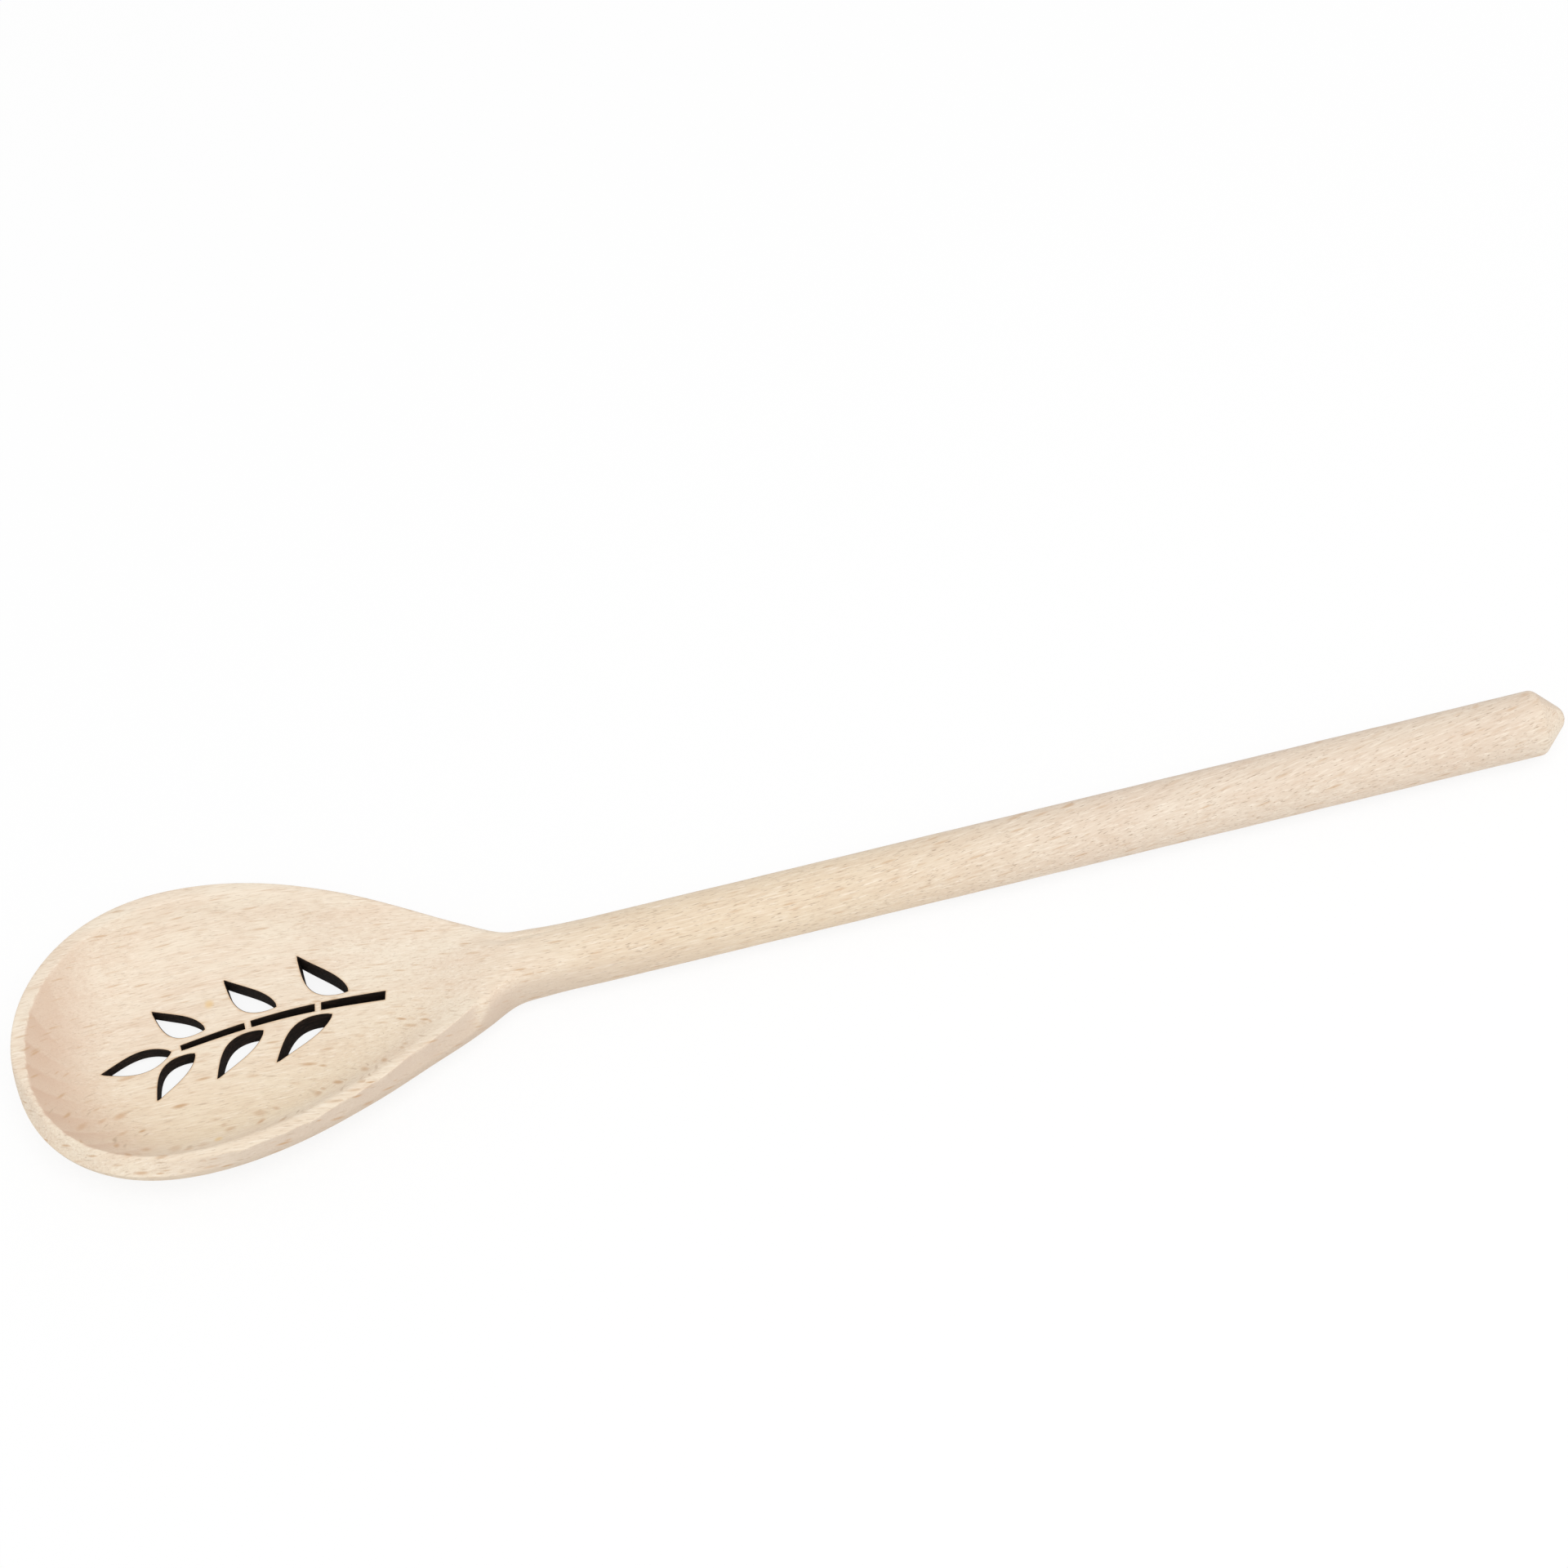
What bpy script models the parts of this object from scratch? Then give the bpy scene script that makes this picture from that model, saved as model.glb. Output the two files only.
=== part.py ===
"""A beech cooking spoon: a pierced bowl with a round neck, and a turned handle glued into it.

Metres, +Z up. The spoon lies on its back with its hollow upwards. Each piece is drawn along X from
the bowl's tip, with Z counted from the handle's axis, and an empty that carries both pieces puts
the middle of the spoon over the origin and its underside on the ground.
"""

import math

import bmesh
import bpy
import numpy as np
from mathutils import Matrix, Vector

# The whole spoon
SPOON_LENGTH = 0.300
HANDLE_RADIUS = 0.0063

# The bowl's outline, seen from above. The shoulder's shape is a list of pairs: the share of the way
# from the widest place to the neck, and the share of the extra width that is left there.
BOWL_HALF_WIDTH = 0.0309
WIDEST_FROM_TIP = 0.033
NECK_FROM_TIP = 0.112
TIP_EXPONENT = 2.15
SHOULDER_SHAPE = (
    (0.215, 0.904), (0.405, 0.682), (0.595, 0.368), (0.709, 0.168), (0.785, 0.033), (0.861, 0.007)
)
BOWL_LEAN = 0.0030
LEAN_POWER = 1.1
NECK_SWAY = 0.0004
SWAY_FROM_TIP = 0.086
SWAY_REACH = 0.007

# The bowl's outline, seen from the side: heights above the handle's axis at shares of the way from
# the tip to the neck. The rim is a flat, milled on wood as thick as the handle, and the waist is the
# line round the bowl where it is widest, which runs into the handle's axis.
RIM_HEIGHT_AT_TIP = 0.0051
RIM_HEIGHT_AT_BOWL = 0.0059
RIM_HEIGHT_AT_SHOULDER = 0.0054
RIM_HEIGHT_AT_RUNOUT = 0.0049
RIM_HEIGHT_AT_THROAT = 0.0058
WAIST_HEIGHT_AT_TIP = 0.0024
WAIST_HEIGHT_AT_BOWL = 0.0032
WAIST_HEIGHT_AT_SHOULDER = 0.0027
WAIST_HEIGHT_AT_RUNOUT = 0.0006
HEIGHT_SHARES = (0.0, 0.27, 0.54, 0.75, 0.87, 1.0)
KEEL_LENGTH = 0.050
KEEL_EXPONENT = 2.2

# The sections across the bowl: nearly square above the waist until the bowl narrows, and rounder
# below it, until both are the handle's circle
SQUARE_UNTIL_FROM_TIP = 0.045
SQUARE_EXPONENT = 10.0
SQUARE_POWER = 2.2
ROUNDING_FROM_TIP = 0.070
UNDERSIDE_EXPONENT = 2.4
ROUND_EXPONENT = 2.0
REST_FLAT_DEPTH = 0.00015

# The hollow
RIM_WIDTH = 0.0029
RIM_WIDTH_AT_END = 0.0034
HOLLOW_DEPTH = 0.0086
HOLLOW_END_FROM_TIP = 0.090
WALL_POWER = 4.0
RUNOUT_POWER = 2.5

# The handle's point
POINT_ANGLE = math.radians(45.0)
NOSE_RADIUS = 0.0029
POINT_SHOULDER_RADIUS = 0.0020

# The glued joint between bowl and handle
JOINT_FROM_TIP = 0.130
SPIGOT_RADIUS = 0.0035
SPIGOT_LENGTH = 0.026
SPIGOT_CHAMFER = 0.0006
JOINT_CLEARANCE = 0.0003

# The sprig that is cut through the bowl's floor
STEM_FOOT_FROM_TIP = 0.0715
STEM_HEAD_FROM_TIP = 0.0300
STEM_BOW = 0.0022
STEM_WIDTH = 0.0017
STEM_TAPER = 0.4
LEAF_PAIRS = 3
LEAF_LENGTH = 0.0135
LEAF_WIDTH = 0.0046
LEAF_ANGLE = math.radians(40.0)
LEAF_BOW = 0.10
LEAF_TAPER = 0.22
LEAF_BELLY_POWER = 0.8
LEAF_STAGGER = 0.0030
BRIDGE = 0.0014

# How finely round forms are divided. A flat takes a few steps of a ring from its middle to its edge,
# and the first ring stands a small share of a step in from a tip.
RING_POINTS = 48
FLAT_STEPS = 3
TIP_RINGS = 14
BODY_RINGS = 26
HOLLOW_TIP_RINGS = 14
HOLLOW_BODY_RINGS = 18
HOLLOW_POINTS = 31
ARC_STEPS = 5
LEAF_POINTS = 9
FIRST_STEP_SHARE = 1 / 6

# Cutters pass the handle's axis by the handle's thickness, so they stand clear of both sides
CUT_REACH = 2 * HANDLE_RADIUS

BEECH = (0.78, 0.62, 0.46, 1.0)
BEECH_ROUGHNESS = 0.62


def smooth_line(points, at, level_start=False):
    """A smooth curve through points (place, value), level at its last point and on request at its first."""
    place, value = np.array(points, dtype=float).T
    slope = np.gradient(value, place)
    slope[-1] = 0.0
    if level_start:
        slope[0] = 0.0
    at = np.clip(at, place[0], place[-1])
    k = np.clip(np.searchsorted(place, at) - 1, 0, len(place) - 2)
    step = place[k + 1] - place[k]
    t = (at - place[k]) / step
    near = (1 + 2 * t) * (1 - t) ** 2 * value[k] + t * (1 - t) ** 2 * step * slope[k]
    far = t * t * (3 - 2 * t) * value[k + 1] + t * t * (t - 1) * step * slope[k + 1]
    return near + far


def rounding(x):
    """How far the section has turned from the bowl's shape, 0, into the handle's circle, 1."""
    t = np.clip((x - ROUNDING_FROM_TIP) / (NECK_FROM_TIP - ROUNDING_FROM_TIP), 0.0, 1.0)
    return t * t * (3 - 2 * t)


def half_width(x):
    """Half the spoon's width at x: a superellipse round the tip, then a smooth line to the neck."""
    before = np.clip(1.0 - x / WIDEST_FROM_TIP, 0.0, 1.0)
    after = (x - WIDEST_FROM_TIP) / (NECK_FROM_TIP - WIDEST_FROM_TIP)
    extra = smooth_line(((0.0, 1.0), *SHOULDER_SHAPE, (1.0, 0.0)), after, level_start=True)
    tip = BOWL_HALF_WIDTH * (1.0 - before**TIP_EXPONENT) ** (1.0 / TIP_EXPONENT)
    shoulder = HANDLE_RADIUS + (BOWL_HALF_WIDTH - HANDLE_RADIUS) * extra
    return np.where(x < WIDEST_FROM_TIP, tip, shoulder)


def middle(x):
    """Where the middle of the width lies: the bowl leans to one side, and the neck sways to the other."""
    lean = BOWL_LEAN * np.clip(1.0 - x / NECK_FROM_TIP, 0.0, 1.0) ** LEAN_POWER
    return lean - NECK_SWAY * np.exp(-(((x - SWAY_FROM_TIP) / SWAY_REACH) ** 2))


def heights(x, *bowl_heights):
    """A height at x, through these heights at the bowl's shares of the way to the neck."""
    return smooth_line(tuple(zip(HEIGHT_SHARES, bowl_heights)), x / NECK_FROM_TIP)


def top(x):
    """Height of the rim's flat, which ends at the handle's upper side."""
    bowl = (RIM_HEIGHT_AT_TIP, RIM_HEIGHT_AT_BOWL, RIM_HEIGHT_AT_SHOULDER)
    return heights(x, *bowl, RIM_HEIGHT_AT_RUNOUT, RIM_HEIGHT_AT_THROAT, HANDLE_RADIUS)


def waist(x):
    """Height of the line where a section is widest, which ends on the handle's axis."""
    bowl = (WAIST_HEIGHT_AT_TIP, WAIST_HEIGHT_AT_BOWL, WAIST_HEIGHT_AT_SHOULDER)
    return heights(x, *bowl, WAIST_HEIGHT_AT_RUNOUT, 0.0, 0.0)


def keel(x):
    """Height of the underside's middle line, before it is sanded flat to rest on."""
    tip = WAIST_HEIGHT_AT_TIP
    lowest = -HANDLE_RADIUS - REST_FLAT_DEPTH * (1.0 - rounding(x))
    before = np.clip(1.0 - x / KEEL_LENGTH, 0.0, 1.0)
    return tip + (lowest - tip) * (1.0 - before**KEEL_EXPONENT) ** (1.0 / KEEL_EXPONENT)


def share_out(ahead, aside):
    """How far out a place lies, from 0 in the middle to 1 on the outline, by its shares along and across."""
    return (ahead**TIP_EXPONENT + aside**TIP_EXPONENT) ** (1.0 / TIP_EXPONENT)


def exponents(x):
    """The section's superellipse exponents at x, above and below its waist."""
    along = (x - SQUARE_UNTIL_FROM_TIP) / (NECK_FROM_TIP - SQUARE_UNTIL_FROM_TIP)
    square = np.clip(1.0 - np.maximum(along, 0.0), 0.0, 1.0) ** SQUARE_POWER
    upper = ROUND_EXPONENT + (SQUARE_EXPONENT - ROUND_EXPONENT) * square
    lower = UNDERSIDE_EXPONENT + (ROUND_EXPONENT - UNDERSIDE_EXPONENT) * rounding(x)
    return upper, lower


def flat_angle(x, ahead, upper):
    """The section's angle, from its top, at which the rim's flat ends: it lies where the uncut form is
    as high as the flat, and round the tip a part of the way out to it is already used up ahead."""
    rise = (top(x) - waist(x)) / (HANDLE_RADIUS - waist(x))
    reach = (1.0 - np.minimum(rise, 1.0) ** upper) ** (TIP_EXPONENT / upper)
    used = ahead**TIP_EXPONENT
    aside = np.clip((reach - used) / (1.0 - used), 0.0, 1.0) ** (1.0 / TIP_EXPONENT)
    return np.arcsin(aside ** (upper / 2))


def section(x):
    """One ring of the solid bowl at x: superellipses above and below its waist, with a flat on top.

    The upper side falls away towards the outline seen from above, so the rim is rounded at the tip too.
    The flat's edges are points of the ring, until the flat is a few steps wide and fades out.
    """
    upper, lower = exponents(x)
    ahead = np.clip(1.0 - x / WIDEST_FROM_TIP, 0.0, 1.0)
    even = np.arange(RING_POINTS) * math.tau / RING_POINTS
    side = np.sign(math.pi - even)
    flat_end = FLAT_STEPS * math.tau / RING_POINTS
    ends = (0.0, max(flat_angle(x, ahead, upper), flat_end), math.pi / 2, math.pi)
    angle = np.interp(np.minimum(even, math.tau - even), (0.0, flat_end, math.pi / 2, math.pi), ends)
    sine, up = np.sin(angle), np.cos(angle)
    across = half_width(x) * side * np.abs(sine) ** (2 / np.where(up > 0, upper, lower))
    out = share_out(ahead, np.abs(across) / half_width(np.maximum(x, WIDEST_FROM_TIP)))
    uncut = waist(x) + (HANDLE_RADIUS - waist(x)) * np.clip(1.0 - out**upper, 0.0, 1.0) ** (1.0 / upper)
    belly = waist(x) - (waist(x) - keel(x)) * np.abs(up) ** (2 / lower)
    z = np.maximum(np.where(up > 0, np.minimum(uncut, top(x)), belly), -HANDLE_RADIUS)
    return np.column_stack((np.full_like(across, x), middle(x) + across, z))


def stations():
    """Places of the bowl's rings: crowded at the round tip, even along the body, one at the joint."""
    angle = (np.arange(TIP_RINGS) + FIRST_STEP_SHARE) * math.pi / 2 / TIP_RINGS
    tip = WIDEST_FROM_TIP * (1.0 - np.cos(angle))
    body = np.linspace(WIDEST_FROM_TIP, NECK_FROM_TIP, BODY_RINGS + 1)
    return [*tip, *body, JOINT_FROM_TIP]


def hollow_side(x):
    """Half the hollow's width at x, without its round tip: the bowl's outline less the rim."""
    along = np.clip((x - WIDEST_FROM_TIP) / (HOLLOW_END_FROM_TIP - WIDEST_FROM_TIP), 0.0, 1.0)
    rim = RIM_WIDTH + (RIM_WIDTH_AT_END - RIM_WIDTH) * along
    return half_width(np.maximum(x, WIDEST_FROM_TIP)) - rim


def hollow_depth(x, across):
    """Depth of the hollow below the rim's line: full at the widest place, none along its edge.

    Round the tip it falls with the share out to the edge, and towards the neck with the shares along
    and across, where the walls grow softer as the hollow runs out.
    """
    ahead = np.clip((WIDEST_FROM_TIP - x) / (WIDEST_FROM_TIP - RIM_WIDTH), 0.0, 1.0)
    behind = np.maximum(x - WIDEST_FROM_TIP, 0.0) / (HOLLOW_END_FROM_TIP - WIDEST_FROM_TIP)
    power = WALL_POWER + (RUNOUT_POWER - WALL_POWER) * behind**2
    out = share_out(ahead, np.abs(across) / hollow_side(x))
    return HOLLOW_DEPTH * (1.0 - behind**2) * (1.0 - out**power)


def hollow_rings():
    """Rings of the body that cuts the hollow: each crosses the floor from edge to edge and closes above."""
    turn = np.linspace(FIRST_STEP_SHARE / HOLLOW_TIP_RINGS, 1.0, HOLLOW_TIP_RINGS) * math.pi / 2
    tip = WIDEST_FROM_TIP - (WIDEST_FROM_TIP - RIM_WIDTH) * np.cos(turn)
    step = (HOLLOW_END_FROM_TIP - WIDEST_FROM_TIP) / HOLLOW_BODY_RINGS
    body = WIDEST_FROM_TIP + step * np.arange(1, HOLLOW_BODY_RINGS + 2)
    reach = hollow_side(tip) * (1.0 - np.cos(turn) ** TIP_EXPONENT) ** (1.0 / TIP_EXPONENT)
    rings = []
    for x, edge in zip((*tip, *body), (*reach, *hollow_side(body))):
        across = edge * np.sin(np.linspace(-math.pi / 2, math.pi / 2, HOLLOW_POINTS))
        height = top(x) - hollow_depth(x, across)
        floor = np.column_stack((np.full_like(across, x), middle(x) + across, height))
        above = [(x, middle(x) + edge, CUT_REACH), (x, middle(x) - edge, CUT_REACH)]
        rings.append([*floor, *above])
    return rings


def stem_point(share):
    """A point (x, y) on the sprig's stem, from its foot near the neck, 0, to its head, 1."""
    x = STEM_FOOT_FROM_TIP + (STEM_HEAD_FROM_TIP - STEM_FOOT_FROM_TIP) * share
    return Vector((x, float(middle(x)) + STEM_BOW * math.sin(math.pi * share)))


def stem_direction(share):
    """The way the stem grows at a share of its length."""
    step = 0.01
    return (stem_point(share + step) - stem_point(share - step)).normalized()


def leaf(root, towards, length, bow):
    """Outline of one leaf: a lens, broadest below its middle, on a midrib that bows to one side."""
    side = Vector((-towards.y, towards.x))
    outline = []
    for sign in (1.0, -1.0):
        for i in range(LEAF_POINTS):
            along = i / LEAF_POINTS if sign > 0 else 1.0 - i / LEAF_POINTS
            swell = LEAF_WIDTH / 2 * math.sin(math.pi * along**LEAF_BELLY_POWER)
            sway = bow * length * math.sin(math.pi * along)
            outline.append(root + towards * length * along + side * (sway + sign * swell))
    return outline


def stem_slot(start, end):
    """Outline of one length of stem, which follows its curve and thins towards the head."""
    shares = np.linspace(start, end, LEAF_POINTS)
    outline = []
    for sign, places in ((1.0, shares), (-1.0, shares[::-1])):
        for share in places:
            towards = stem_direction(share)
            half = STEM_WIDTH / 2 * (1.0 - STEM_TAPER * share)
            outline.append(stem_point(share) + Vector((-towards.y, towards.x)) * sign * half)
    return outline


def sprig():
    """All outlines of the sprig: stem lengths with a bridge between them, pairs of leaves and a last leaf."""
    stem_length = STEM_FOOT_FROM_TIP - STEM_HEAD_FROM_TIP
    gap = BRIDGE / stem_length / 2
    outlines = []
    for i in range(LEAF_PAIRS):
        outlines.append(stem_slot(i / LEAF_PAIRS + gap, (i + 1) / LEAF_PAIRS - gap))
        length = LEAF_LENGTH * (1.0 - LEAF_TAPER * i / LEAF_PAIRS)
        for sign in (1.0, -1.0):
            share = (i + 0.5) / LEAF_PAIRS + sign * LEAF_STAGGER / stem_length / 2
            towards = Matrix.Rotation(sign * LEAF_ANGLE, 2) @ stem_direction(share)
            clear = (STEM_WIDTH / 2 + BRIDGE) / math.sin(LEAF_ANGLE)
            outlines.append(leaf(stem_point(share) + towards * clear, towards, length, -sign * LEAF_BOW))
    last = stem_direction(1.0)
    outlines.append(leaf(stem_point(1.0) + last * BRIDGE, last, LEAF_LENGTH, 0.0))
    return outlines


def beech(name):
    """Plain pale beech, fine-sanded and left bare."""
    material = bpy.data.materials.new(name)
    material.use_nodes = True
    shader = material.node_tree.nodes["Principled BSDF"]
    shader.inputs["Base Color"].default_value = BEECH
    shader.inputs["Roughness"].default_value = BEECH_ROUGHNESS
    shader.inputs["Metallic"].default_value = 0.0
    return material


def add_object(name, bm, parent, material=None):
    """Turn a bmesh into an object under the parent, with its faces pointing out and round forms smooth."""
    bmesh.ops.recalc_face_normals(bm, faces=bm.faces)
    mesh = bpy.data.meshes.new(name)
    bm.to_mesh(mesh)
    bm.free()
    thing = bpy.data.objects.new(name, mesh)
    bpy.context.scene.collection.objects.link(thing)
    thing.parent = parent
    if material:
        mesh.materials.append(material)
        mesh.shade_smooth()
        mesh.set_sharp_from_angle(angle=math.radians(35.0))
    return thing


def bridged(rings):
    """A closed body from rings of points: neighbours are bridged and the two ends are capped."""
    bm = bmesh.new()
    loops = []
    for ring in rings:
        verts = [bm.verts.new(point) for point in ring]
        loops.append([bm.edges.new((a, b)) for a, b in zip(verts, verts[1:] + verts[:1])])
    for near, far in zip(loops, loops[1:]):
        bmesh.ops.bridge_loops(bm, edges=near + far)
    for end in (loops[0], loops[-1]):
        bmesh.ops.contextual_create(bm, geom=end)
    return bm


def turned(profile):
    """A body turned about the X axis from a profile of points (x, radius) that starts and ends on it."""
    bm = bmesh.new()
    verts = [bm.verts.new((x, 0.0, radius)) for x, radius in profile]
    edges = [bm.edges.new(pair) for pair in zip(verts, verts[1:])]
    bmesh.ops.spin(
        bm, geom=verts + edges, cent=(0, 0, 0), axis=(1, 0, 0), angle=math.tau, steps=RING_POINTS
    )
    bmesh.ops.remove_doubles(bm, verts=bm.verts, dist=1e-7)
    return bm


def cutter(name, bm, parent):
    """A body that only cuts: drawn as wire and left out of the render."""
    thing = add_object(name, bm, parent)
    thing.display_type = "WIRE"
    thing.hide_render = True
    return thing


def cut(target, tool):
    """Take the tool away from the target."""
    boolean = target.modifiers.new(tool.name, "BOOLEAN")
    boolean.operation = "DIFFERENCE"
    boolean.solver = "EXACT"
    boolean.object = tool


def pierced(outlines):
    """Upright prisms on the outlines, long enough to pass through the bowl's floor."""
    bm = bmesh.new()
    for outline in outlines:
        face = bm.faces.new([bm.verts.new((point.x, point.y, -CUT_REACH)) for point in outline])
        raised = bmesh.ops.extrude_face_region(bm, geom=[face])["geom"]
        corners = [item for item in raised if isinstance(item, bmesh.types.BMVert)]
        bmesh.ops.translate(bm, verts=corners, vec=(0, 0, 2 * CUT_REACH))
    return bm


def bowl(parent, material):
    """The bowl and its neck, with the hollow, the sprig and the socket cut out of the solid form."""
    thing = add_object("bowl", bridged([section(x) for x in stations()]), parent, material)
    cut(thing, cutter("hollow_cutter", bridged(hollow_rings()), parent))
    cut(thing, cutter("sprig_cutter", pierced(sprig()), parent))
    bottom = JOINT_FROM_TIP - SPIGOT_LENGTH - JOINT_CLEARANCE
    radius = SPIGOT_RADIUS + JOINT_CLEARANCE
    mouth = JOINT_FROM_TIP + SPIGOT_LENGTH
    socket = turned([(bottom, 0.0), (bottom, radius), (mouth, radius), (mouth, 0.0)])
    cut(thing, cutter("socket_cutter", socket, parent))
    return thing


def handle_profile():
    """Half the handle's outline: spigot, shoulder, straight grip, cone and rounded nose."""
    spigot_end = JOINT_FROM_TIP - SPIGOT_LENGTH
    nose_centre = SPOON_LENGTH - NOSE_RADIUS
    apex = nose_centre + NOSE_RADIUS / math.sin(POINT_ANGLE)
    corner = apex - HANDLE_RADIUS / math.tan(POINT_ANGLE)
    soft_start = corner - POINT_SHOULDER_RADIUS * math.tan(POINT_ANGLE / 2)
    profile = [
        (spigot_end, 0.0),
        (spigot_end, SPIGOT_RADIUS - SPIGOT_CHAMFER),
        (spigot_end + SPIGOT_CHAMFER, SPIGOT_RADIUS),
        (JOINT_FROM_TIP, SPIGOT_RADIUS),
        (JOINT_FROM_TIP, HANDLE_RADIUS),
    ]
    for turn in np.linspace(0.0, POINT_ANGLE, ARC_STEPS):
        radius = HANDLE_RADIUS - POINT_SHOULDER_RADIUS * (1.0 - math.cos(turn))
        profile.append((soft_start + POINT_SHOULDER_RADIUS * math.sin(turn), radius))
    for turn in np.linspace(math.pi / 2 - POINT_ANGLE, 0.0, ARC_STEPS):
        profile.append((nose_centre + NOSE_RADIUS * math.cos(turn), NOSE_RADIUS * math.sin(turn)))
    return profile


def main():
    """Build the spoon on its empty."""
    for old in list(bpy.data.objects):
        bpy.data.objects.remove(old, do_unlink=True)
    places = np.array(stations())
    sides = np.concatenate((middle(places) + half_width(places), middle(places) - half_width(places)))
    spoon = bpy.data.objects.new("spoon", None)
    spoon.location = (-SPOON_LENGTH / 2, -(sides.max() + sides.min()) / 2, HANDLE_RADIUS)
    bpy.context.scene.collection.objects.link(spoon)
    bowl(spoon, beech("bowl_beech"))
    add_object("handle", turned(handle_profile()), spoon, beech("handle_beech"))


main()
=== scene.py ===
"""Looks of a pale beech cooking spoon: a bowl pierced by a leaf sprig, and a round pointed handle.

Metres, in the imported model's frame, where the spoon lies along X with its hollow up. Its forms are
worked out in the spoon's own coordinates: x from the bowl's tip, across from the bowl's middle line,
and height from the handle's axis.
"""

import logging
import math
from dataclasses import dataclass
from enum import Enum
from typing import Any

import bmesh
import bpy
import numpy as np
from mathutils import Matrix, Vector


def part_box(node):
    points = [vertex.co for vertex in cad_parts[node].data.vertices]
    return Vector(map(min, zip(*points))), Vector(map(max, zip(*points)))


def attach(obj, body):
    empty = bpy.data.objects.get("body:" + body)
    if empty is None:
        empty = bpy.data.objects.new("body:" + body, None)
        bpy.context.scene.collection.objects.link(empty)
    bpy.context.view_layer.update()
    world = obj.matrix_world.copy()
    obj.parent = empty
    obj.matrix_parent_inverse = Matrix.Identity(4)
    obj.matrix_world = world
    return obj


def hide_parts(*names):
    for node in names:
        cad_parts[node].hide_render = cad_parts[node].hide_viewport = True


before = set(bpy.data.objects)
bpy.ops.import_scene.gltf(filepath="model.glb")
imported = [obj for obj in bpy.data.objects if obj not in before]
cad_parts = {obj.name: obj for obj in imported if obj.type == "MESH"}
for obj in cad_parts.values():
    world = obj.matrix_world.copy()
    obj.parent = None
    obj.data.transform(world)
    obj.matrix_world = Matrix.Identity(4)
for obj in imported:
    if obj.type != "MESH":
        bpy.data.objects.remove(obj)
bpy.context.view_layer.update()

MILLIMETRES = 1000.0
MERGE_DISTANCE = 1e-6
CURVE_SLACK = 0.00004
FAR_AWAY = 1.0
LEAST_RADIUS = 1e-6
LEAST_WIDTH = 1e-9
LEAST_LENGTH = 1e-12
LEAST_SQUARE = 1e-18
SHARP_ANGLE = math.radians(38.0)

Colour = tuple[float, float, float]
Triple = tuple[float, float, float]
Span = tuple[float, float]
Curve = tuple[Span, ...]


class Mark(Enum):
    """The surface attributes that a piece carries for its finish."""

    END_GRAIN = "end_grain"
    # Painted shade, greyish, on the steep sides of the bowl and the handle.
    SIDE_SHADE = "flank"
    # Painted shade of the tip's cut wall, darkest beside each facet's edge.
    WALL_SHADE = "milled"
    SOOT = "soot"


class Part(Enum):
    """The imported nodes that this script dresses."""

    BOWL = "bowl"
    HANDLE = "handle"


def smooth_line(points: Curve, at: np.ndarray, level_start: bool = False) -> np.ndarray:
    """A smooth curve through points: cubic between neighbours, with the slope of those around each.

    Args:
        points: pairs of a place and the value there.
        at: the places to read.
        level_start: whether the curve starts level, as it always ends.

    Returns:
        The curve's value at each place.
    """
    place, value = np.array(points, dtype=float).T
    slope = np.gradient(value, place)
    slope[-1] = 0.0
    if level_start:
        slope[0] = 0.0
    at = np.clip(at, place[0], place[-1])
    k = np.clip(np.searchsorted(place, at) - 1, 0, len(place) - 2)
    step = place[k + 1] - place[k]
    t = (at - place[k]) / step
    near = (1 + 2 * t) * (1 - t) ** 2 * value[k] + t * (1 - t) ** 2 * step * slope[k]
    far = t * t * (3 - 2 * t) * value[k + 1] + t * t * (t - 1) * step * slope[k + 1]
    return near + far


def ease(at: np.ndarray, start: float, end: float) -> np.ndarray:
    """A step from 0 at start to 1 at end that begins and ends level: 3t squared less 2t cubed."""
    t = np.clip((at - start) / (end - start), 0.0, 1.0)
    return t * t * (3 - 2 * t)


def soft_min(a: np.ndarray, b: np.ndarray, reach: np.ndarray | float) -> np.ndarray:
    """The lower of a and b, with a round fillet where they are closer than reach to each other."""
    h = np.clip(0.5 + 0.5 * (b - a) / reach, 0.0, 1.0)
    return b * (1.0 - h) + a * h - reach * h * (1.0 - h)


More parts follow.
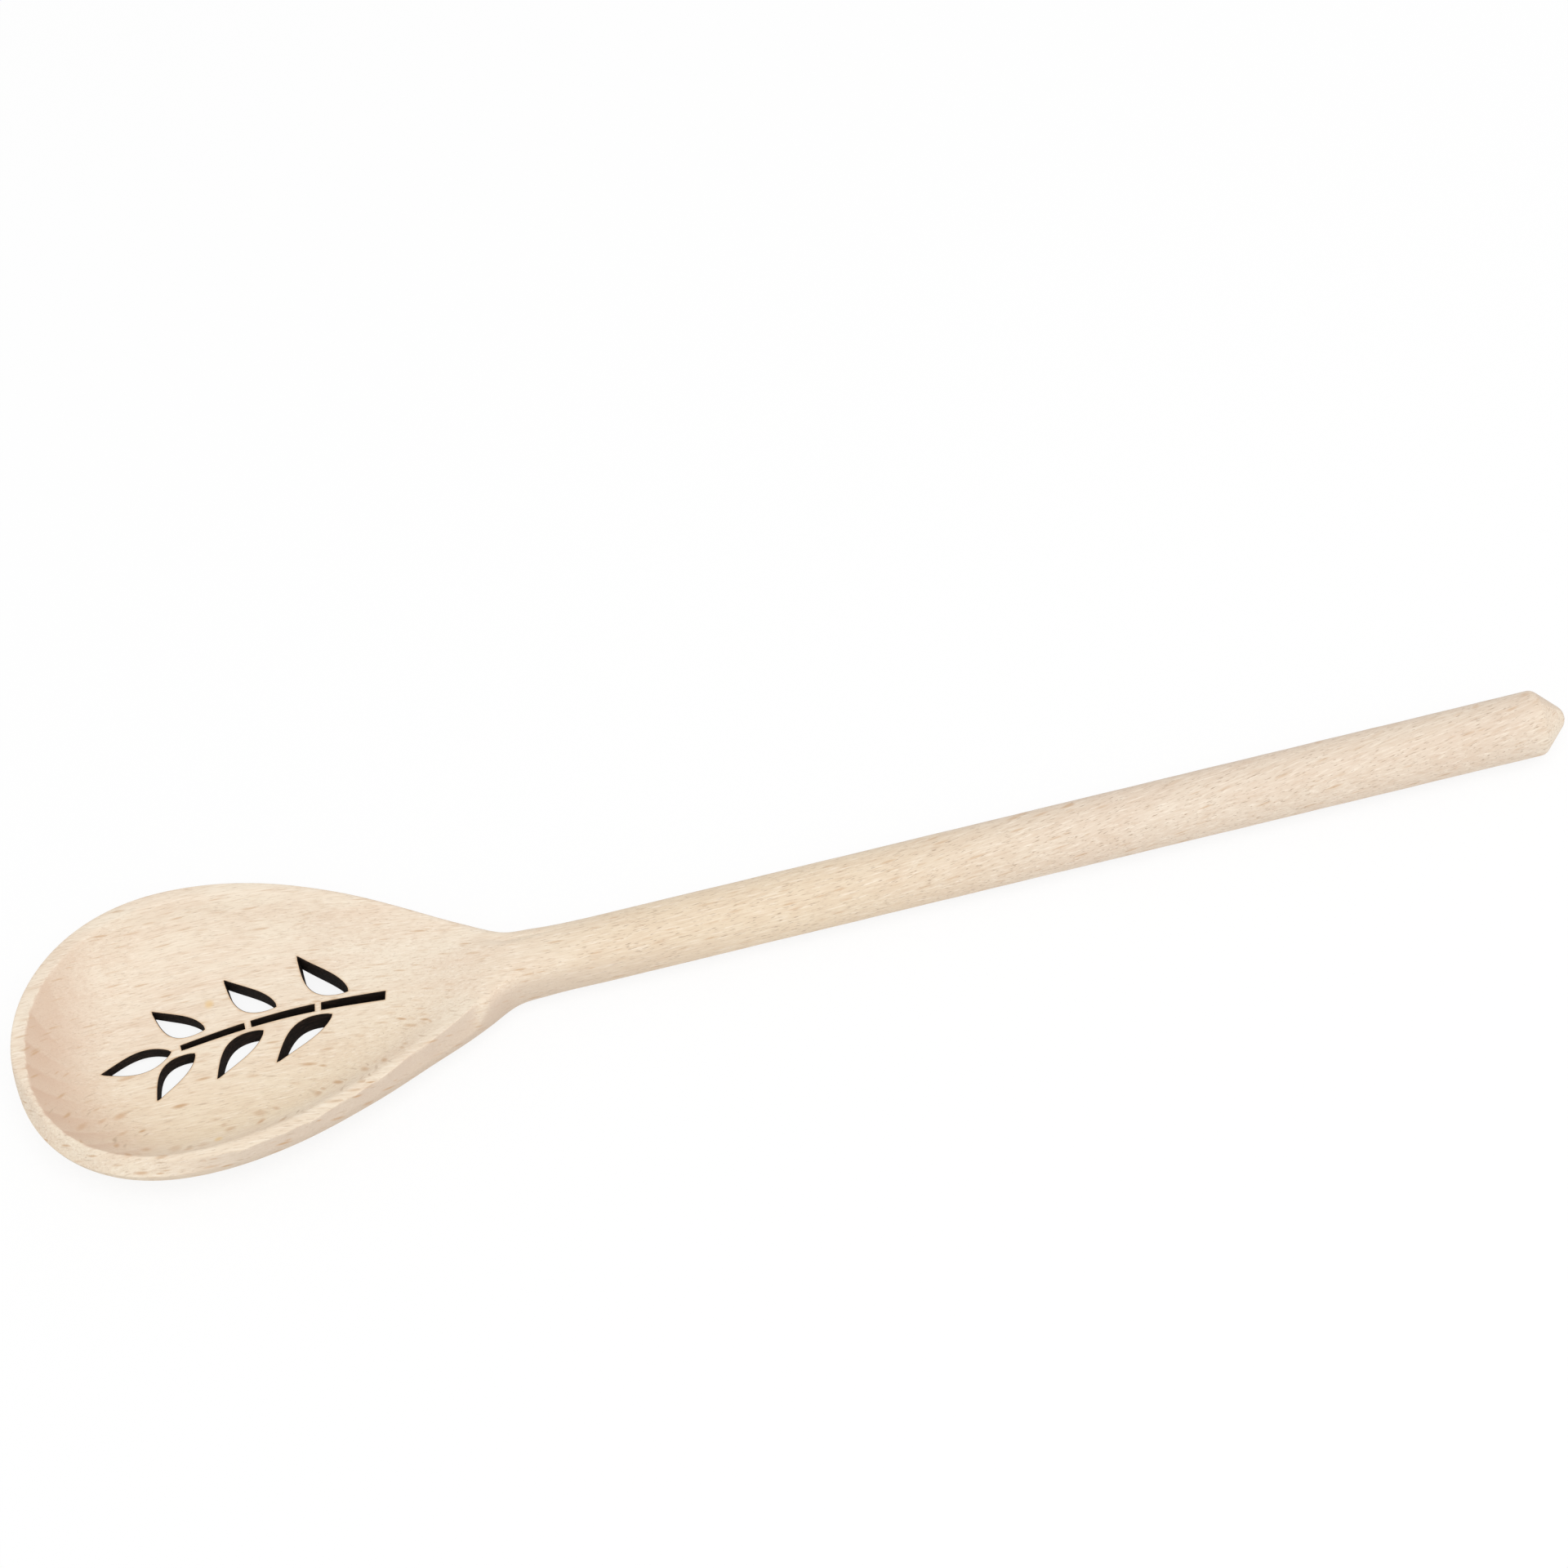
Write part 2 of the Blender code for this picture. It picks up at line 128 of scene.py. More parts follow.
@dataclass
class Carving:
    """The spoon's carved form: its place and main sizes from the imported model, and its curves.

    A curve is pairs of a place and the value there, and its places run in metres or in shares of the
    stretch that it covers. Any other pair is where a step starts and where it ends, but for the axis,
    a place, and upright_far, which the far side adds to both ends of upright. A wave is its length or
    its rate, then its strength and its start.
    """

    tip: float
    axis: Span
    radius: float
    half_width: float
    joint: float
    length: float
    widest: float = 0.033
    neck: float = 0.112
    tip_exponent: float = 2.15
    shoulder: Curve = (
        (0.0, 1.0), (0.215, 0.904), (0.405, 0.682), (0.595, 0.368), (0.709, 0.168), (0.785, 0.033),
        (0.861, 0.007), (1.0, 0.0),
    )
    lean: float = 0.0030
    lean_power: float = 1.1
    sway: float = 0.0004
    sway_place: float = 0.086
    sway_reach: float = 0.007
    rim_heights: Curve = ((0.0, 0.0051), (0.27, 0.0059), (0.54, 0.0054), (0.75, 0.0049), (0.87, 0.0058))
    waist_heights: Curve = (
        (0.0, 0.0024), (0.27, 0.0032), (0.54, 0.0027), (0.75, 0.0006), (0.87, 0.0), (1.0, 0.0)
    )
    keel_length: float = 0.050
    keel_exponent: float = 2.2
    square_until: float = 0.045
    square_exponent: float = 10.0
    square_power: float = 2.2
    rounding_start: float = 0.070
    underside_exponent: float = 2.4
    round_exponent: float = 2.0
    flat_depth: float = 0.00015
    flat_softness: float = 0.00004
    rim: float = 0.0029
    rim_at_end: float = 0.0034
    depth: float = 0.0086
    hollow_end: float = 0.090
    wall_power: float = 4.0
    runout_power: float = 2.5
    hollow_edge: Curve = (
        (0.0, 0.00025), (0.030, 0.0003), (0.050, 0.0009), (0.080, 0.0018), (0.1, 0.0018)
    )
    far_softness: float = 1.5
    arris: Curve = (
        (0.0, 0.0004), (0.03, 0.0002), (0.078, 0.0002), (0.084, 0.0002), (0.096, 0.0009), (0.104, 0.0004),
        (0.112, 1e-7),
    )
    plane_side: Span = (-0.1, 0.3)
    plane_end: float = 0.0862
    plane_run: float = 0.0042
    plane_waves: tuple[Triple, ...] = ((0.0045, 0.5, 0.9), (0.0071, 0.9, 2.3), (0.013, 1.0, 0.4))
    plane_wave: float = 0.00012
    tip_slope: float = 0.0022
    tip_slope_start: Span = (-0.42, 0.48)
    tip_slope_end: Span = (0.020, 0.038)
    tip_bow: float = 0.15
    widest_flat: float = 0.999
    far_side: Span = (0.2, 0.7)
    far_arris: float = 3.0
    # Where the painted shade on steep faces lies: its level limits, the far side's extra, its fading on
    # the near side, its gain on the far side, and less of it at the tip.
    upright: Span = (0.25, 0.80)
    upright_far: Span = (0.10, 0.15)
    near_even: Span = (0.085, 0.150)
    far_deep: Span = (0.112, 0.210)
    far_gain: float = 0.5
    tip_pale: Span = (0.018, 0.050)
    tip_loss: float = 0.6
    facets: int = 15
    facet_swirl: float = -0.9
    facet_waves: tuple[Triple, ...] = ((3.1, 0.05, 0.7), (7.3, 0.02, 0.0))
    facet_ridge: float = 0.00018
    ridge_power: float = 1.5
    ridge_start: Span = (0.50, 0.85)
    ridge_end: Span = (0.86, 1.0)
    ridge_turn: Span = (0.0, 0.55)

    @classmethod
    def from_frame(cls) -> "Carving":
        """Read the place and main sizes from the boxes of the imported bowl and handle.

        Returns:
            The carving that fits them.
        """
        low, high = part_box(Part.BOWL.value)
        grip_low, grip_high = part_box(Part.HANDLE.value)
        centre = (grip_low + grip_high) / 2
        return cls(
            tip=low.x,
            axis=(centre.y, centre.z),
            radius=(grip_high.z - grip_low.z) / 2,
            half_width=(high.y - low.y) / 2 - CURVE_SLACK,
            joint=high.x - low.x,
            length=grip_high.x - low.x,
        )

    def place(self, x: np.ndarray, y: np.ndarray, height: np.ndarray) -> np.ndarray:
        """World points from x along the spoon, y from the handle's axis and height above it."""
        return np.stack((self.tip + x, self.axis[0] + y, self.axis[1] + height), axis=-1)

    def rounding(self, x: np.ndarray) -> np.ndarray:
        """How far the section has turned from the bowl's shape, 0, into the handle's circle, 1."""
        return ease(x, self.rounding_start, self.neck)

    def width_at(self, x: np.ndarray) -> np.ndarray:
        """Half the width at x from the widest place on: the handle's radius and a share of the rest."""
        after = (x - self.widest) / (self.neck - self.widest)
        return self.radius + (self.half_width - self.radius) * smooth_line(self.shoulder, after, True)

    def middle(self, x: np.ndarray) -> np.ndarray:
        """Where the middle of the width lies across: a power curve to the neck, less a bell's sway."""
        lean = self.lean * np.clip(1.0 - x / self.neck, 0.0, 1.0) ** self.lean_power
        return lean - self.sway * np.exp(-(((x - self.sway_place) / self.sway_reach) ** 2))

    def top(self, x: np.ndarray) -> np.ndarray:
        """Height of the rim's flat, which ends at the neck's upper side."""
        return smooth_line((*self.rim_heights, (1.0, self.radius)), x / self.neck)

    def waist(self, x: np.ndarray) -> np.ndarray:
        """Height of the section's widest line: a little under the rim, then the handle's axis."""
        return smooth_line(self.waist_heights, x / self.neck)

    def exponents(self, x: np.ndarray) -> tuple[np.ndarray, np.ndarray]:
        """The section's superellipse exponents above and below its widest line.

        Above it falls by a power curve from the bowl's square section to the handle's round one.

        Args:
            x: places along the spoon.

        Returns:
            The upper and the lower exponent at each place.
        """
        along = (x - self.square_until) / (self.neck - self.square_until)
        square = np.clip(1.0 - np.maximum(along, 0.0), 0.0, 1.0) ** self.square_power
        upper = self.round_exponent + (self.square_exponent - self.round_exponent) * square
        turned = self.rounding(x)
        lower = self.underside_exponent + (self.round_exponent - self.underside_exponent) * turned
        return upper, lower

    def painted_side_shade(self, points: np.ndarray, normals: np.ndarray) -> np.ndarray:
        """How much painted shade a steep face gets, from 0 where it is level enough to 1 where it stands
        upright.

        On the neck and the grip the radius gives the direction, so that the two pieces' edges agree,
        and the near side loses its share towards the end, where the far side has more. The tip keeps
        less than half of its own.

        Args:
            points: the places.
            normals: the surface's directions there.

        Returns:
            The weight of the painted shade at each place.
        """
        x, y, height = points[:, 0] - self.tip, points[:, 1] - self.axis[0], points[:, 2] - self.axis[1]
        on_grip = (x > self.neck) & (x < self.length - 2 * self.radius)
        radial = height / np.maximum(np.hypot(y, height), LEAST_RADIUS)
        near, far = ease(x, *self.near_even) * (y < 0.0), ease(x, *self.far_deep) * (y > 0.0)
        level = np.abs(np.where(on_grip, radial, normals[:, 2]))
        start, end = (limit + more * far for limit, more in zip(self.upright, self.upright_far))
        steep = 1.0 - ease(level, start, end)
        at_tip = 1.0 - ease(x, *self.tip_pale)
        return steep * (1.0 - near) * (1.0 + self.far_gain * far) * (1.0 - self.tip_loss * at_tip)

    def keel(self, x: np.ndarray) -> np.ndarray:
        """Height of the underside's middle line: a superellipse down from the tip, then level.

        Args:
            x: places along the spoon.

        Returns:
            The height at each place.
        """
        tip = self.waist_heights[0][1]
        lowest = -self.radius - self.flat_depth * (1.0 - self.rounding(x))
        before = np.clip(1.0 - x / self.keel_length, 0.0, 1.0)
        drop = (1.0 - before**self.keel_exponent) ** (1.0 / self.keel_exponent)
        return tip + (lowest - tip) * drop

    def share(self, ahead: np.ndarray, aside: np.ndarray) -> np.ndarray:
        """How far out a place lies by its shares along and across: the superellipse's own distance."""
        return (ahead**self.tip_exponent + aside**self.tip_exponent) ** (1.0 / self.tip_exponent)

    def outline_share(self, x: np.ndarray, across: np.ndarray) -> np.ndarray:
        """How far out a place lies between the middle line, 0, and the outline, 1, seen from above."""
        ahead = np.clip(1.0 - x / self.widest, 0.0, 1.0)
        return self.share(ahead, np.abs(across) / self.width_at(np.maximum(x, self.widest)))

    def hollow_side(self, x: np.ndarray) -> np.ndarray:
        """Half the hollow's width without its round tip: the outline less the rim, which widens.

        Args:
            x: places along the spoon.

        Returns:
            The distance from the middle line to the hollow's edge at each place.
        """
        along = np.clip((x - self.widest) / (self.hollow_end - self.widest), 0.0, 1.0)
        rim = self.rim + (self.rim_at_end - self.rim) * along
        return self.width_at(np.maximum(x, self.widest)) - rim

    def hollow_share(self, x: np.ndarray, across: np.ndarray) -> tuple[np.ndarray, np.ndarray]:
        """How far a place lies towards the hollow's edge, and how far behind the widest place.

        Args:
            x: places along the spoon.
            across: places across, from the middle line.

        Returns:
            The share out, 1 at the edge, and the share behind, 1 at the hollow's end.
        """
        ahead = np.clip((self.widest - x) / (self.widest - self.rim), 0.0, None)
        behind = np.maximum(x - self.widest, 0.0) / (self.hollow_end - self.widest)
        return self.share(ahead, np.abs(across) / self.hollow_side(x)), behind

    def facet_turn(self, x: np.ndarray, across: np.ndarray) -> tuple[np.ndarray, np.ndarray, np.ndarray]:
        """Where a place lies among the cutter's facets on the tip's wall.

        The turn about the widest place is bent by two slow waves and with the share out, so that no two
        facets are alike and their ridges slant.

        Args:
            x: places along the spoon.
            across: places across, from the middle line.

        Returns:
            The bent turn in facets, the plain turn in radians and the share out to the hollow's edge.
        """
        turn = np.arctan2(across, self.widest - x)
        out, _ = self.hollow_share(x, across)
        waves = sum(size * np.sin(rate * turn + start) for rate, size, start in self.facet_waves)
        bent = turn + waves + self.facet_swirl * (out - 1.0)
        return bent * self.facets / math.pi, turn, out

    def ridges(self, x: np.ndarray, across: np.ndarray) -> np.ndarray:
        """Height of the cutter's ridges on the tip's wall, in shares of the highest one.

        A ridge is a power of one less the sine's size, so it is sharp between two facets.

        Args:
            x: places along the spoon.
            across: places across, from the middle line.

        Returns:
            The height, which fades below, at the edge and away from the tip.
        """
        facet, turn, out = self.facet_turn(x, across)
        peak = (1.0 - np.abs(np.sin(facet * math.pi))) ** self.ridge_power
        on_wall = peak * ease(out, *self.ridge_start) * (1.0 - ease(out, *self.ridge_end))
        return on_wall * ease(np.cos(turn), *self.ridge_turn)

    def floor(self, x: np.ndarray, across: np.ndarray) -> np.ndarray:
        """Height of the hollow's floor and walls.

        The depth is the product of a parabola along and a power curve out to the edge. It turns
        negative past the edge and past the hollow's end, where the floor rises above the rim.

        Args:
            x: places along the spoon.
            across: places across, from the middle line.

        Returns:
            The height at each place.
        """
        out, behind = self.hollow_share(x, across)
        power = self.wall_power + (self.runout_power - self.wall_power) * np.minimum(behind, 1.0) ** 2
        along, outward = 1.0 - behind**2, 1.0 - out**power
        both_past = (along < 0.0) & (outward < 0.0)
        depth = self.depth * np.where(both_past, -1.0, 1.0) * along * outward
        return self.top(x) - depth + self.facet_ridge * self.ridges(x, across)

    def fall(self, x: np.ndarray, out: np.ndarray) -> np.ndarray:
        """How much is left of the uncut form's rise at an outline share: 1 in the middle, 0 outside."""
        exponent, _ = self.exponents(x)
        return np.clip(1.0 - out**exponent, 0.0, 1.0) ** (1.0 / exponent)

    def flat_share(self, x: np.ndarray) -> np.ndarray:
        """The outline share at which the rim's flat ends, where the uncut form is as high as the flat.

        Args:
            x: places along the spoon.

        Returns:
            The share at each place.
        """
        rise = np.clip((self.top(x) - self.waist(x)) / (self.radius - self.waist(x)), 0.0, 1.0)
        exponent, _ = self.exponents(x)
        return (1.0 - rise**exponent) ** (1.0 / exponent)

    def planed(self, x: np.ndarray, across: np.ndarray, uncut: np.ndarray) -> np.ndarray:
        """Height of the uncut form with its near side planed flat from the rim's arris to the outline.

        The plane is the chord between the two, so it lies in the uncut form. It ends where the neck's
        cove begins, and its arris wanders a little, as under a hand at a belt sander. Round the tip
        the arris moves slowly inwards, so that the rim slopes out, and the chord bows a little.

        Args:
            x: places along the spoon.
            across: places across, from the middle line.
            uncut: the uncut form's height there.

        Returns:
            The height, never above the uncut form's.
        """
        width = self.width_at(np.maximum(x, self.widest))
        aside = -across / self.half_width
        sloped = ease(aside, *self.tip_slope_start) * (1.0 - ease(x, *self.tip_slope_end))
        flat = self.flat_share(x) - self.tip_slope * sloped / width
        for length, strength, start in self.plane_waves:
            flat = flat + self.plane_wave * strength * np.sin(x / length * math.tau + start) / width
        flat = np.minimum(flat, self.widest_flat)
        down = (self.outline_share(x, across) - flat) / (1.0 - flat)
        down = np.sign(down) * np.abs(down) ** (1.0 + self.tip_bow * sloped)
        chord = self.top(x) + (self.waist(x) - self.top(x)) * down
        past = ease(x, self.plane_end, self.plane_end + self.plane_run)
        return uncut + ease(aside, *self.plane_side) * (1.0 - past) * np.minimum(chord - uncut, 0.0)

    def upper(self, x: np.ndarray, across: np.ndarray, fall: np.ndarray | None = None) -> np.ndarray:
        """Height of the finished upper side.

        The hollow's edge is rounded, the more so on the far side and towards the neck. The face that
        the flat and the hollow make together cuts the uncut form in an arris that softens at the neck.

        Args:
            x: places along the spoon.
            across: places across, from the middle line.
            fall: what is left of the uncut form's rise there, if it is known better than by its place.

        Returns:
            The height at each place.
        """
        if fall is None:
            fall = self.fall(x, self.outline_share(x, across))
        uncut = self.planed(x, across, self.waist(x) + (self.radius - self.waist(x)) * fall)
        far = ease(across / self.width_at(np.maximum(x, self.widest)), *self.far_side)
        edge = smooth_line(self.hollow_edge, x) * (1.0 + self.far_softness * far)
        face = soft_min(self.top(x) + 0.0 * across, self.floor(x, across), edge)
        return soft_min(uncut, face, smooth_line(self.arris, x) * (1.0 + self.far_arris * far))

    def under(self, x: np.ndarray, across: np.ndarray) -> np.ndarray:
        """Height of the underside: a superellipse below the waist, with the resting flat sanded on.

        Args:
            x: places along the spoon.
            across: places across, from the middle line.

        Returns:
            The height at each place.
        """
        _, exponent = self.exponents(x)
        ahead = np.clip(1.0 - x / self.widest, 0.0, 1.0)
        tip_width = (1.0 - ahead**self.tip_exponent) ** (1.0 / self.tip_exponent)
        half = self.width_at(np.maximum(x, self.widest)) * np.maximum(tip_width, LEAST_WIDTH)
        inward = np.clip(1.0 - (np.abs(across) / half) ** exponent, 0.0, 1.0) ** (1.0 / exponent)
        form = self.waist(x) - (self.waist(x) - self.keel(x)) * inward
        return -soft_min(-form, np.full_like(form, self.radius), self.flat_softness)


@dataclass
class Sprig:
    """The leaf sprig that is cut through the bowl: stem lengths, pairs of leaves and a last leaf."""

    carving: Carving
    foot: float = 0.0715
    head: float = 0.0300
    bow: float = 0.0022
    stem_width: float = 0.0017
    stem_taper: float = 0.4
    pairs: int = 3
    leaf_length: float = 0.0135
    leaf_width: float = 0.0046
    leaf_angle: float = math.radians(40.0)
    leaf_bow: float = 0.10
    leaf_taper: float = 0.22
    leaf_belly: float = 0.8
    stagger: float = 0.0030
    bridge: float = 0.0014
    points: int = 30
    flare: float = 0.00014
    overrun: float = 0.0003

    def stem_point(self, share: np.ndarray) -> np.ndarray:
        """Points on the stem's line: even along x, and across by a half wave on the middle line.

        Args:
            share: how far along the stem each point lies, from 0 at the foot to 1 at the head.

        Returns:
            The points (x, y).
        """
        x = self.foot + (self.head - self.foot) * np.asarray(share, dtype=float)
        y = self.carving.middle(x) + self.bow * np.sin(math.pi * np.asarray(share, dtype=float))
        return np.stack((x, y), axis=-1)

    def stem_direction(self, share: np.ndarray) -> np.ndarray:
        """The stem's direction, from points a hundredth of its length to either side.

        Args:
            share: how far along the stem.

        Returns:
            The unit vector there.
        """
        step = 0.01
        run = self.stem_point(np.asarray(share) + step) - self.stem_point(np.asarray(share) - step)
        return run / np.linalg.norm(run, axis=-1, keepdims=True)

    def slot(self, start: float, end: float) -> np.ndarray:
        """Outline of one length of stem: its line, set off to both sides by a width that tapers.

        Args:
            start: the share of the stem at which the slot starts.
            end: the share at which it ends.

        Returns:
            The outline's points (x, y).
        """
        shares = np.linspace(start, end, self.points)
        towards = self.stem_direction(shares)
        side = np.stack((-towards[:, 1], towards[:, 0]), axis=-1)
        half = (self.stem_width / 2 * (1.0 - self.stem_taper * shares))[:, None]
        line = self.stem_point(shares)
        return np.concatenate((line + side * half, (line - side * half)[::-1]))

    def leaf(self, root: np.ndarray, towards: np.ndarray, length: float, bow: float) -> np.ndarray:
        """Outline of a leaf: a half wave of a power of the way along, to both sides of a bowed midrib.

        Args:
            root: the point (x, y) where the leaf starts.
            towards: the unit vector to its point.
            length: its length.
            bow: the midrib's bow, as a share of the length.

        Returns:
            The outline's points (x, y).
        """
        side = np.array((-towards[1], towards[0]))
        along = np.arange(self.points) / self.points
        along = np.concatenate((along, 1.0 - along))
        sign = np.repeat((1.0, -1.0), self.points)
        swell = self.leaf_width / 2 * np.sin(math.pi * along**self.leaf_belly)
        sway = bow * length * np.sin(math.pi * along)
        return root + np.outer(along * length, towards) + np.outer(sway + sign * swell, side)

    def outlines(self) -> list[np.ndarray]:
        """Every cut's outline, from the handle's axis, in the order foot to head.

        Returns:
            For each cut, its points (x, y).
        """
        stem_length = self.foot - self.head
        gap = self.bridge / stem_length / 2
        clear = (self.stem_width / 2 + self.bridge) / math.sin(self.leaf_angle)
        found = []
        for i in range(self.pairs):
            found.append(self.slot(i / self.pairs + gap, (i + 1) / self.pairs - gap))
            length = self.leaf_length * (1.0 - self.leaf_taper * i / self.pairs)
            for sign in (1.0, -1.0):
                share = (i + 0.5) / self.pairs + sign * self.stagger / stem_length / 2
                turn = np.array(Matrix.Rotation(sign * self.leaf_angle, 2))
                turned = turn @ self.stem_direction(share)
                root = self.stem_point(share) + turned * clear
                found.append(self.leaf(root, turned, length, -sign * self.leaf_bow))
        last = self.stem_direction(1.0)
        found.append(self.leaf(self.stem_point(1.0) + last * self.bridge, last, self.leaf_length, 0.0))
        return found

    @staticmethod
    def set_off(outline: np.ndarray, distance: float) -> np.ndarray:
        """An outline moved outwards: each point goes along the mean of its two sides' normals.

        Args:
            outline: the points (x, y), either way round.
            distance: how far they move.

        Returns:
            The moved points.
        """
        following = np.roll(outline, -1, axis=0)
        run = following - outline
        area = np.sum(outline[:, 0] * following[:, 1] - outline[:, 1] * following[:, 0])
        normal = np.stack((run[:, 1], -run[:, 0]), axis=-1) * np.sign(area)
        normal /= np.maximum(np.linalg.norm(normal, axis=1, keepdims=True), LEAST_LENGTH)
        mean = normal + np.roll(normal, 1, axis=0)
        mean /= np.maximum(np.linalg.norm(mean, axis=1, keepdims=True), LEAST_LENGTH)
        return outline + mean * distance

    def cutter(self) -> bpy.types.Mesh:
        """A closed body for each cut, straight through the wood, with a 45 degree flare at both faces.

        Returns:
            A mesh with one loft for each outline: four rings, whose heights follow the bowl's faces.
        """
        points, faces = [], []
        start = 0
        for outline in self.outlines():
            across = outline[:, 1] - self.carving.middle(outline[:, 0])
            bottom = self.carving.under(outline[:, 0], across)
            top = self.carving.upper(outline[:, 0], across)
            wide = self.set_off(outline, self.flare + self.overrun)
            rings = (
                (wide, bottom - self.overrun), (outline, bottom + self.flare),
                (outline, top - self.flare), (wide, top + self.overrun),
            )
            points += [self.carving.place(ring[:, 0], ring[:, 1], height) for ring, height in rings]
            count = len(outline)
            corner = start + np.arange(count)
            following = start + (np.arange(count) + 1) % count
            for level in range(len(rings) - 1):
                low, high = level * count, (level + 1) * count
                quads = (corner + low, following + low, following + high, corner + high)
                faces += np.stack(quads, axis=1).tolist()
            faces += [corner[::-1].tolist(), (corner + (len(rings) - 1) * count).tolist()]
            start += len(rings) * count
        mesh = bpy.data.meshes.new("sprig_cuts")
        mesh.from_pydata(np.concatenate(points).tolist(), [], faces)
        return mesh

    def distance(self, points: np.ndarray) -> np.ndarray:
        """Distance of points to the nearest outline: to the nearest place on any of its sides.

        Args:
            points: the points (x, y).

        Returns:
            The distance of each.
        """
        nearest = np.full(len(points), FAR_AWAY)
        for outline in self.outlines():
            start = outline[None, :, :]
            run = np.roll(outline, -1, axis=0)[None, :, :] - start
            offset = points[:, None, :] - start
            square = np.maximum(np.sum(run * run, axis=2), LEAST_SQUARE)
            share = np.sum(offset * run, axis=2) / square
            foot = offset - run * np.clip(share, 0.0, 1.0)[:, :, None]
            nearest = np.minimum(nearest, np.sqrt(np.min(np.sum(foot * foot, axis=2), axis=1)))
        return nearest


class Value:
    """A number in a shader: each arithmetic operator adds the Math node that works it out."""

    def __init__(self, shader: "Shader", socket: bpy.types.NodeSocket) -> None:
        """Keep the shader that the number belongs to and the socket that gives it."""
        self.shader = shader
        self.socket = socket

    def _with(self, operation: str, *values: Any) -> "Value":
        """A new number from a Math node's operation on these values."""
        node = self.shader.node("ShaderNodeMath", {"operation": operation}, dict(enumerate(values)))
        return Value(self.shader, node.outputs[0])

    def __add__(self, other: Any) -> "Value":
        """Self plus other."""
        return self._with("ADD", self, other)

    def __radd__(self, other: Any) -> "Value":
        """Other plus self."""
        return self._with("ADD", other, self)

    def __sub__(self, other: Any) -> "Value":
        """Self minus other."""
        return self._with("SUBTRACT", self, other)

    def __rsub__(self, other: Any) -> "Value":
        """Other minus self."""
        return self._with("SUBTRACT", other, self)

    def __mul__(self, other: Any) -> "Value":
        """Self times other."""
        return self._with("MULTIPLY", self, other)

    def __rmul__(self, other: Any) -> "Value":
        """Other times self."""
        return self._with("MULTIPLY", other, self)

    def __truediv__(self, other: Any) -> "Value":
        """Self divided by other."""
        return self._with("DIVIDE", self, other)

    def __pow__(self, other: Any) -> "Value":
        """Self to the power of other."""
        return self._with("POWER", self, other)

    def angle(self, other: Any) -> "Value":
        """The angle of a point that is self up and other along."""
        return self._with("ARCTAN2", self, other)

    def fraction(self) -> "Value":
        """The part of the number behind its point."""
        return self._with("FRACT", self)

    def between(self, start: float, end: float) -> "Value":
        """A step that begins and ends level.

        Args:
            start: the number at which it is still 0.
            end: the number at which it is 1.

        Returns:
            The step at this number.
        """
        inputs = {"Value": self, "From Min": start, "From Max": end}
        node = self.shader.node("ShaderNodeMapRange", {"interpolation_type": "SMOOTHSTEP"}, inputs)
        return Value(self.shader, node.outputs["Result"])


